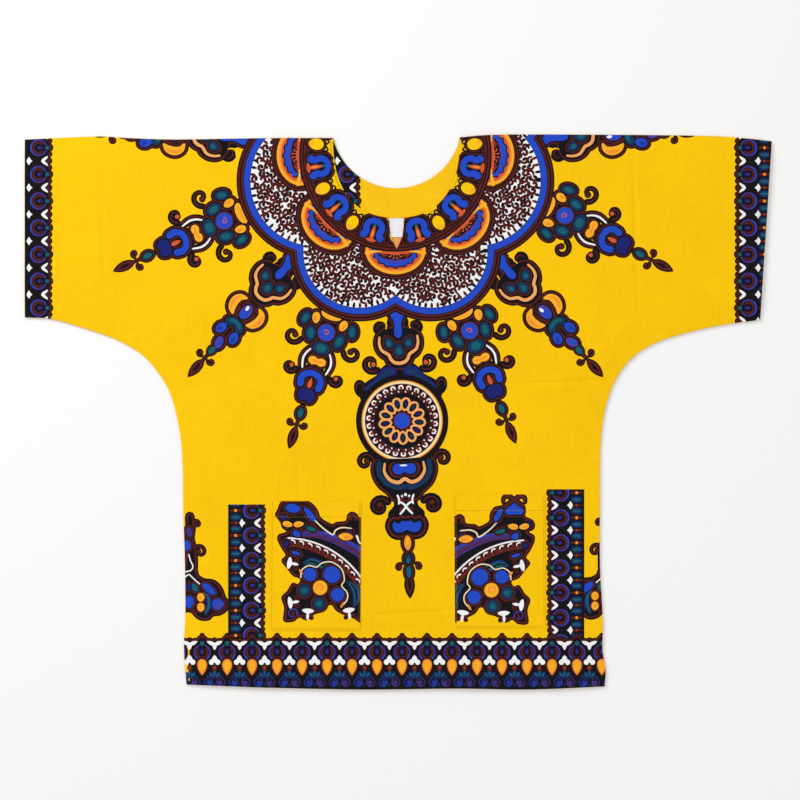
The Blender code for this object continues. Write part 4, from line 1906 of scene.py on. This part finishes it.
def add_node(tree: bpy.types.NodeTree, kind: str, operation: str = "", **inputs: object) -> bpy.types.Node:
    """Adds a node and sets its inputs.

    Args:
        tree: the material's nodes.
        kind: the node's type without its first words.
        operation: what a maths node does.
        inputs: as set_inputs takes them.

    Returns:
        The node.
    """
    node = tree.nodes.new("ShaderNode" + kind)
    if operation:
        node.operation = operation
    set_inputs(node, **inputs)
    return node


@dataclass(frozen=True)
class PrintedCotton:
    """Wax-printed cotton: the dye of each facet, a slubbed plain weave and a faint sheen."""

    name: str = "printed_cotton"
    roughness: float = 0.85
    sheen: float = 0.02
    thread: float = 0.00055
    slub: float = 0.05
    mottle: float = 0.035
    specular: float = 0.12
    sheen_roughness: float = 0.4
    bump: float = 0.25
    bump_depth: float = 0.0002

    def material(self) -> bpy.types.Material:
        """The cotton's nodes: mottled dye on the colour, and thread rows and slubs as bump.

        Returns:
            The material.
        """
        material = bpy.data.materials.new(self.name)
        material.use_nodes = True
        tree = material.node_tree
        shader = tree.nodes["Principled BSDF"]
        set_inputs(shader, Roughness=self.roughness, Specular_IOR_Level=self.specular)
        set_inputs(shader, Sheen_Weight=self.sheen, Sheen_Roughness=self.sheen_roughness)
        dye = add_node(tree, "Attribute")
        dye.attribute_name = "dye"
        place = add_node(tree, "TexCoord")
        shade = add_node(tree, "HueSaturation")
        tones = []
        grains = (
            (900, (1, 0.04, 1), self.slub), (1100, (0.04, 1, 1), self.slub), (9, (1, 1, 1), self.mottle)
        )
        for scale, stretch, amount in grains:
            mapping = add_node(tree, "Mapping", Scale=stretch)
            noise = add_node(tree, "TexNoise", Scale=scale, Detail=2)
            tone = add_node(
                tree, "MapRange", From_Min=0.25, From_Max=0.75, To_Min=1 - amount, To_Max=1 + amount
            )
            link(tree, (place.outputs["Object"], mapping.inputs["Vector"]))
            link(
                tree, (mapping.outputs["Vector"], noise.inputs["Vector"]),
                (noise.outputs["Fac"], tone.inputs["Value"]),
            )
            tones.append(tone)
        product = add_node(tree, "Math", "MULTIPLY")
        whole = add_node(tree, "Math", "MULTIPLY")
        link(
            tree, (tones[0].outputs["Result"], product.inputs[0]),
            (tones[1].outputs["Result"], product.inputs[1]),
        )
        link(tree, (product.outputs["Value"], whole.inputs[0]), (tones[2].outputs["Result"], whole.inputs[1]))
        link(
            tree, (whole.outputs["Value"], shade.inputs["Value"]),
            (dye.outputs["Color"], shade.inputs["Color"]),
        )
        link(tree, (shade.outputs["Color"], shader.inputs["Base Color"]))
        bump = add_node(tree, "Bump", Strength=self.bump, Distance=self.bump_depth)
        weave = self.weave(tree, place)
        link(tree, (weave, bump.inputs["Height"]), (bump.outputs["Normal"], shader.inputs["Normal"]))
        return material

    def weave(self, tree: bpy.types.NodeTree, place: bpy.types.Node) -> bpy.types.NodeSocket:
        """Plain weave: the product of one sine along each thread direction.

        Args:
            tree: the material's nodes.
            place: the coordinates.

        Returns:
            The socket that holds the weave's height.
        """
        split = add_node(tree, "SeparateXYZ")
        link(tree, (place.outputs["Object"], split.inputs["Vector"]))
        waves = []
        for axis in ("X", "Y"):
            scaled = add_node(tree, "Math", "MULTIPLY")
            scaled.inputs[1].default_value = math.pi / self.thread
            sine = add_node(tree, "Math", "SINE")
            link(tree, (split.outputs[axis], scaled.inputs[0]), (scaled.outputs["Value"], sine.inputs[0]))
            waves.append(sine)
        both = add_node(tree, "Math", "MULTIPLY")
        link(tree, (waves[0].outputs["Value"], both.inputs[0]), (waves[1].outputs["Value"], both.inputs[1]))
        return both.outputs["Value"]


COTTON = PrintedCotton().material()
TAPE = PrintedCotton("woven_tape", 0.45, 0.08, 0.00035, 0.03, 0.02, 0.3).material()


# ---- pieces


def in_metres(art: Draft) -> Draft:
    """A drawing measured down the panel in millimetres, as one up the pattern in metres."""
    return Draft([(layer, points * [MM, -MM], ink) for layer, points, ink in art.forms])


WRONG_SIDE = (0.9, 0.52, 0.03)
FACING_YELLOW = (0.97, 0.56, 0.006)
LABEL_WHITE = (0.86, 0.86, 0.88)
NECK_SHADE = disc(0, -0.15, 0.045)
POCKET_LIFT = 0.0003
BACK_TOP = 0.0008


def straight_sides(corners: Array, step: float) -> Array:
    """A closed outline with straight sides between its corners and points about a step apart."""
    return np.vstack([smooth(np.array([a, b]), step)[:-1] for a, b in zip(corners, np.roll(corners, -1, 0))])


def flat_up(plan: Array) -> Array:
    """Directions straight up, one for each place."""
    return np.tile([0.0, 0.0, 1.0], (len(plan), 1))


def finish_piece(piece: Piece, node: str) -> Piece:
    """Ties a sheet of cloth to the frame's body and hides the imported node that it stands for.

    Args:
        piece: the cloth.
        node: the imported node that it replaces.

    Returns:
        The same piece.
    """
    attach(piece, "root")
    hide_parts(node)
    log.info("%s: %d triangles", piece.name, len(piece.data.polygons))
    return piece


@dataclass
class FrontPanel:
    """The printed front, with its neckline, notch and creases."""

    net_spacing: float = 0.008
    lining_spacing: float = 0.03
    slack: float = 0.0006
    slack_reach: float = 0.02
    edge_lines: tuple[float, ...] = (0.0004, 0.0011)

    def build(self) -> Piece:
        """Cuts the panel along its print and lays it at its heights.

        Returns:
            The front.
        """
        lines = [grown(FRONT_OUTLINE, -inset) for inset in self.edge_lines]
        art = in_metres(front_print())
        net = print_net(FRONT_OUTLINE, art, self.net_spacing, lines, [LIE.crease_points()])
        shell = Shell("front_cloth")
        lining = shell.lining(net, self.lining_spacing, WRONG_SIDE)
        inside = smoothstep(edge_gap(lining.plan, FRONT_OUTLINE, self.slack_reach) / self.slack_reach)
        under = LIE.top(lining.plan) - shell.wall - self.slack * inside
        piece = shell.build(net, lining, LIE.top(net.plan), under, facing_up(net.plan, LIE.top), COTTON)
        return finish_piece(piece, "front")


@dataclass
class BackPanel:
    """The printed back, face down on the floor, so that its wrong side shows at the neck."""

    net_spacing: float = 0.02
    lining_spacing: float = 0.02

    def build(self) -> Piece:
        """Cuts the panel along its print and lays it flat.

        Returns:
            The back.
        """
        net = print_net(BACK_OUTLINE, in_metres(back_print()), self.net_spacing)
        shell = Shell("back_cloth")
        lining = shell.lining(net, self.lining_spacing, WRONG_SIDE)
        lining.dye[winding(lining.plan[lining.triangles].mean(1), NECK_SHADE) != 0] = Ink.PEACH.value
        height = np.zeros(len(net.plan))
        piece = shell.build(
            net, lining, height, np.full(len(lining.plan), BACK_TOP), flat_up(net.plan), COTTON, True
        )
        return finish_piece(piece, "back")


@dataclass
class NeckFacing:
    """The yellow band inside the back neck, with the border's end on it."""

    spacing: float = 0.004
    lining_spacing: float = 0.02
    rise: float = 0.0009
    wave: float = 0.00025
    turns_across: float = 61
    turns_down: float = 47
    phase: float = 1.3

    def height(self, plan: Array) -> Array:
        """The band's upper face: nearly flat, with a soft wave along it."""
        wave = self.wave * np.sin(plan[:, 0] * self.turns_across + self.phase)
        return BACK_TOP + self.rise + wave * np.cos(plan[:, 1] * self.turns_down)

    def build(self) -> Piece:
        """Cuts the band and lays it on the back.

        Returns:
            The facing.
        """
        outline = PATTERN.facing()
        net = print_net(outline, in_metres(facing_print()), self.spacing)
        shell = Shell("neck_facing_cloth")
        net.dye[(net.dye == Ink.GROUND.value).all(1)] = FACING_YELLOW
        lining = shell.lining(net, self.lining_spacing, WRONG_SIDE)
        under = self.height(lining.plan) - shell.wall
        piece = shell.build(
            net, lining, self.height(net.plan), under, facing_up(net.plan, self.height), COTTON
        )
        return finish_piece(piece, "back_neck_facing")


@dataclass
class NeckLabel:
    """A bare white tape sewn under the facing's lower edge."""

    spacing: float = 0.0015
    edge_step: float = 0.002
    wall: float = 0.0005
    length: float = 0.0275
    rise: float = 0.0008
    curl: float = 0.0004
    ripple: float = 0.00012
    turns: float = 420

    def height(self, plan: Array) -> Array:
        """The tape's upper face: it curls up a little towards its lower end."""
        drop = (plan[:, 1] - plan[:, 1].max()) / self.length
        return BACK_TOP + self.rise + self.curl * drop**2 + self.ripple * np.sin(plan[:, 0] * self.turns)

    def build(self) -> Piece:
        """Cuts the tape and lays it on the back.

        Returns:
            The label.
        """
        low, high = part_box("label")
        corners = [(low.x, low.y), (high.x, low.y), (high.x, high.y), (low.x, high.y)]
        outline = straight_sides(np.array(corners) - SHIFT, self.edge_step)
        net = Net(*divide(outline, web(outline, self.spacing), []), np.empty(0))
        net.dye = np.tile(np.array(LABEL_WHITE), (len(net.triangles), 1))
        shell = Shell("label_tape", self.wall)
        lining = shell.lining(net, self.spacing, LABEL_WHITE)
        under = self.height(lining.plan) - shell.wall
        piece = shell.build(net, lining, self.height(net.plan), under, facing_up(net.plan, self.height), TAPE)
        return finish_piece(piece, "label")


@dataclass
class Pocket:
    """A patch pocket with a corner motif, sewn on down both sides and along the bottom."""

    node: str
    left: float
    right: float
    top: float
    bottom: float
    lean: float
    mirror: bool
    motif_shift: tuple[float, float]
    spacing: float = 0.006
    lining_spacing: float = 0.02
    wall: float = 0.0006
    slack: float = 0.0005
    slack_reach: float = 0.03

    def corners(self) -> Array:
        """The pocket's four corners, anticlockwise from the lower left."""
        lower = [(self.left - self.lean, self.bottom), (self.right - self.lean, self.bottom)]
        return np.array([*lower, (self.right, self.top), (self.left, self.top)])

    def height(self, plan: Array) -> Array:
        """The pocket's upper face: the front's, raised by one wall, with a slack middle."""
        loose = smoothstep(edge_gap(plan, self.corners(), self.slack_reach) / self.slack_reach)
        return LIE.top(plan) + POCKET_LIFT + self.wall + self.slack * loose

    def build(self) -> Piece:
        """Cuts the pocket along its print and lays it on the front.

        Returns:
            The pocket.
        """
        outline = straight_sides(self.corners(), self.spacing)
        art = corner_motif(self.mirror)
        art = art.mirrored() if self.mirror else art
        edge = self.left if self.mirror else self.right
        across, down = self.motif_shift
        art = art.moved(edge / MM + across, down - self.bottom / MM)
        net = print_net(outline, in_metres(art), self.spacing)
        shell = Shell(f"{self.node}_cloth", self.wall)
        lining = shell.lining(net, self.lining_spacing, WRONG_SIDE)
        under = self.height(lining.plan) - shell.wall
        piece = shell.build(
            net, lining, self.height(net.plan), under, facing_up(net.plan, self.height), COTTON
        )
        return finish_piece(piece, self.node)


POCKETS = (
    Pocket("pocket_left", -0.182, -0.0515, -0.525, -0.7115, 0.001, False, (0.0, -4.0)),
    Pocket("pocket_right", 0.0835, 0.2145, -0.5155, -0.708, -0.0014, True, (-5.0, 3.0)),
)


@dataclass
class Stitching:
    """Rows of thread, each stitch a small tapered bead that follows the cloth."""

    name: str
    length: float = 0.0026
    gap: float = 0.001
    thread: float = 0.00032
    colour: tuple[float, float, float] = (0.8, 0.4, 0.015)

    def build(self, rows: list[Array], height: Height) -> Piece:
        """Sets a bead every stitch length along each row: a ring of points at each of four stations.

        Args:
            rows: the rows' paths on the pattern.
            height: the function that gives the cloth's height.

        Returns:
            One joined piece.
        """
        starts, ends = [], []
        for row in rows:
            travelled = np.concatenate([[0], np.cumsum(np.linalg.norm(np.diff(row, axis=0), axis=1))])
            at = np.arange(self.gap, travelled[-1] - self.length, self.length + self.gap)
            for group, offset in ((starts, 0.0), (ends, self.length)):
                group.append(np.column_stack([np.interp(at + offset, travelled, row[:, k]) for k in (0, 1)]))
        start, end = np.vstack(starts), np.vstack(ends)
        along = (end - start) / np.linalg.norm(end - start, axis=1)[:, None]
        side = np.column_stack([-along[:, 1], along[:, 0]])
        stations = np.array([0.0, 0.22, 0.78, 1.0])
        swell = np.array([0.35, 1.0, 1.0, 0.35])
        angle = np.radians(np.arange(0, 360, 72) + 54)
        plan = start[:, None, None] + (end - start)[:, None, None] * stations[None, :, None, None]
        reach = self.thread * swell[None, :, None, None] * np.cos(angle)[None, None, :, None]
        plan = plan + side[:, None, None] * reach
        lift = height(np.repeat((start + end) / 2, 20, axis=0)).reshape(-1, 4, 5)
        rise = self.thread * (swell[None, :, None] * (0.55 + np.sin(angle)[None, None, :]) - 0.15)
        co = np.concatenate([plan + SHIFT, (lift + rise)[..., None]], axis=3).reshape(-1, 3)
        ring = np.arange(5)
        turn = (ring + 1) % 5
        quads = []
        for station in range(3):
            a, b = station * 5 + ring, station * 5 + turn
            quads.append(np.vstack([np.column_stack([a, a + 5, b + 5]), np.column_stack([a, b + 5, b])]))
        caps = [[0, 1, 2], [0, 2, 3], [0, 3, 4], [17, 16, 15], [18, 17, 15], [19, 18, 15]]
        bead = np.vstack(quads + [np.array(caps)])
        faces = (bead[None] + 20 * np.arange(len(start))[:, None, None]).reshape(-1, 3)
        colour = np.tile(np.array(self.colour), (len(faces), 1))
        piece = piece_from(self.name, co, faces, colour, None, COTTON)
        build = bmesh.new()
        build.from_mesh(piece.data)
        bmesh.ops.recalc_face_normals(build, faces=build.faces[:])
        build.to_mesh(piece.data)
        build.free()
        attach(piece, "root")
        log.info("%s: %d stitches", piece.name, len(start))
        return piece


POCKET_THREAD = (0.5, 0.24, 0.012)
EDGE_THREAD = (0.05, 0.012, 0.02)
POCKET_THREAD_SIZE = 0.00024
POCKET_INSET = 0.0022
POCKET_HEM = 0.023
HEM_INSET = 0.009
CUFF_INSET = 0.012
NECK_INSET = 0.0035


def front_stitching() -> list[Piece]:
    """The rows along the hem, the cuffs, the neckline and the pockets.

    Returns:
        The pieces, one for the edges and one for each pocket.
    """
    hem = smooth(PATTERN.hem, PATTERN.step) + [0, HEM_INSET]
    cuffs = [PATTERN.cuff(True) + [CUFF_INSET, 0], PATTERN.cuff(False) - [CUFF_INSET, 0]]
    neck = offset_line(PATTERN.front_neck(), NECK_INSET)
    made = [Stitching("edge_stitching", colour=EDGE_THREAD).build([hem[2:-2], *cuffs, neck], LIE.top)]
    for pocket in POCKETS:
        lower_left, lower_right, upper_right, upper_left = pocket.corners()
        left = lower_left + [POCKET_INSET, POCKET_INSET]
        right = lower_right + [-POCKET_INSET, POCKET_INSET]
        paths = (
            (upper_left + [POCKET_INSET, 0], left, lower_left + [POCKET_INSET * 1.001, POCKET_INSET]),
            (left, right),
            (right, upper_right - [POCKET_INSET, 0]),
            (upper_left - [0, POCKET_HEM], upper_right - [0, POCKET_HEM]),
        )
        rows = [smooth(np.array(path), PATTERN.step) for path in paths]
        stitching = Stitching(f"{pocket.node}_stitching", thread=POCKET_THREAD_SIZE, colour=POCKET_THREAD)
        made.append(stitching.build(rows, pocket.height))
    return made


def offset_line(line: Array, by: float) -> Array:
    """An open line moved to its left by a distance, along its mean normals.

    Args:
        line: the line's points.
        by: the distance.

    Returns:
        The moved points.
    """
    run = np.gradient(line, axis=0)
    run /= np.linalg.norm(run, axis=1)[:, None]
    return line + by * np.column_stack([-run[:, 1], run[:, 0]])


@dataclass
class Studio:
    """A pale floor, soft lights and a camera straight above."""

    width: float = 1.16
    camera_height: float = 3.6
    centre: tuple[float, float] = (0.0025, 0.0174)
    floor_reach: float = 6.0
    floor_z: float = -0.0007
    sky: float = 0.65
    sensor: float = 36

    def build(self) -> None:
        """Adds the floor, the lights and the camera."""
        floor_mesh = bpy.data.meshes.new("floor")
        reach = self.floor_reach
        corners = [(-reach, -reach), (reach, -reach), (reach, reach), (-reach, reach)]
        floor_mesh.from_pydata([(x, y, self.floor_z) for x, y in corners], [], [(0, 1, 2, 3)])
        floor = bpy.data.objects.new("floor", floor_mesh)
        pale = bpy.data.materials.new("pale_floor")
        pale.use_nodes = True
        shader = pale.node_tree.nodes["Principled BSDF"]
        set_inputs(shader, Base_Color=(0.97, 0.97, 0.97, 1), Roughness=0.9)
        floor_mesh.materials.append(pale)
        bpy.context.scene.collection.objects.link(floor)
        world = bpy.data.worlds.new("soft_room")
        world.use_nodes = True
        set_inputs(world.node_tree.nodes["Background"], Color=(1, 1, 1, 1), Strength=self.sky)
        bpy.context.scene.world = world
        for name, place, size, power in (
            ("key", (-3.0, 2.7, 2.1), 1.8, 118), ("fill", (2.4, -1.6, 2.6), 2.4, 16)
        ):
            lamp = bpy.data.lights.new(name, "AREA")
            lamp.size = size
            lamp.energy = power
            light = bpy.data.objects.new(name, lamp)
            light.location = place
            light.rotation_euler = (-Vector(place)).to_track_quat("-Z", "Y").to_euler()
            bpy.context.scene.collection.objects.link(light)
        camera_data = bpy.data.cameras.new("camera")
        camera_data.sensor_width = self.sensor
        camera_data.lens = self.sensor * self.camera_height / self.width
        camera = bpy.data.objects.new("camera", camera_data)
        camera.location = (*self.centre, self.camera_height)
        bpy.context.scene.collection.objects.link(camera)
        bpy.context.scene.camera = camera
        bpy.context.scene.view_settings.view_transform = "Standard"


def main() -> None:
    """Builds the shirt and the room."""
    Studio().build()
    BackPanel().build()
    NeckFacing().build()
    NeckLabel().build()
    FrontPanel().build()
    for pocket in POCKETS:
        pocket.build()
    front_stitching()


if __name__ == "__main__":
    main()
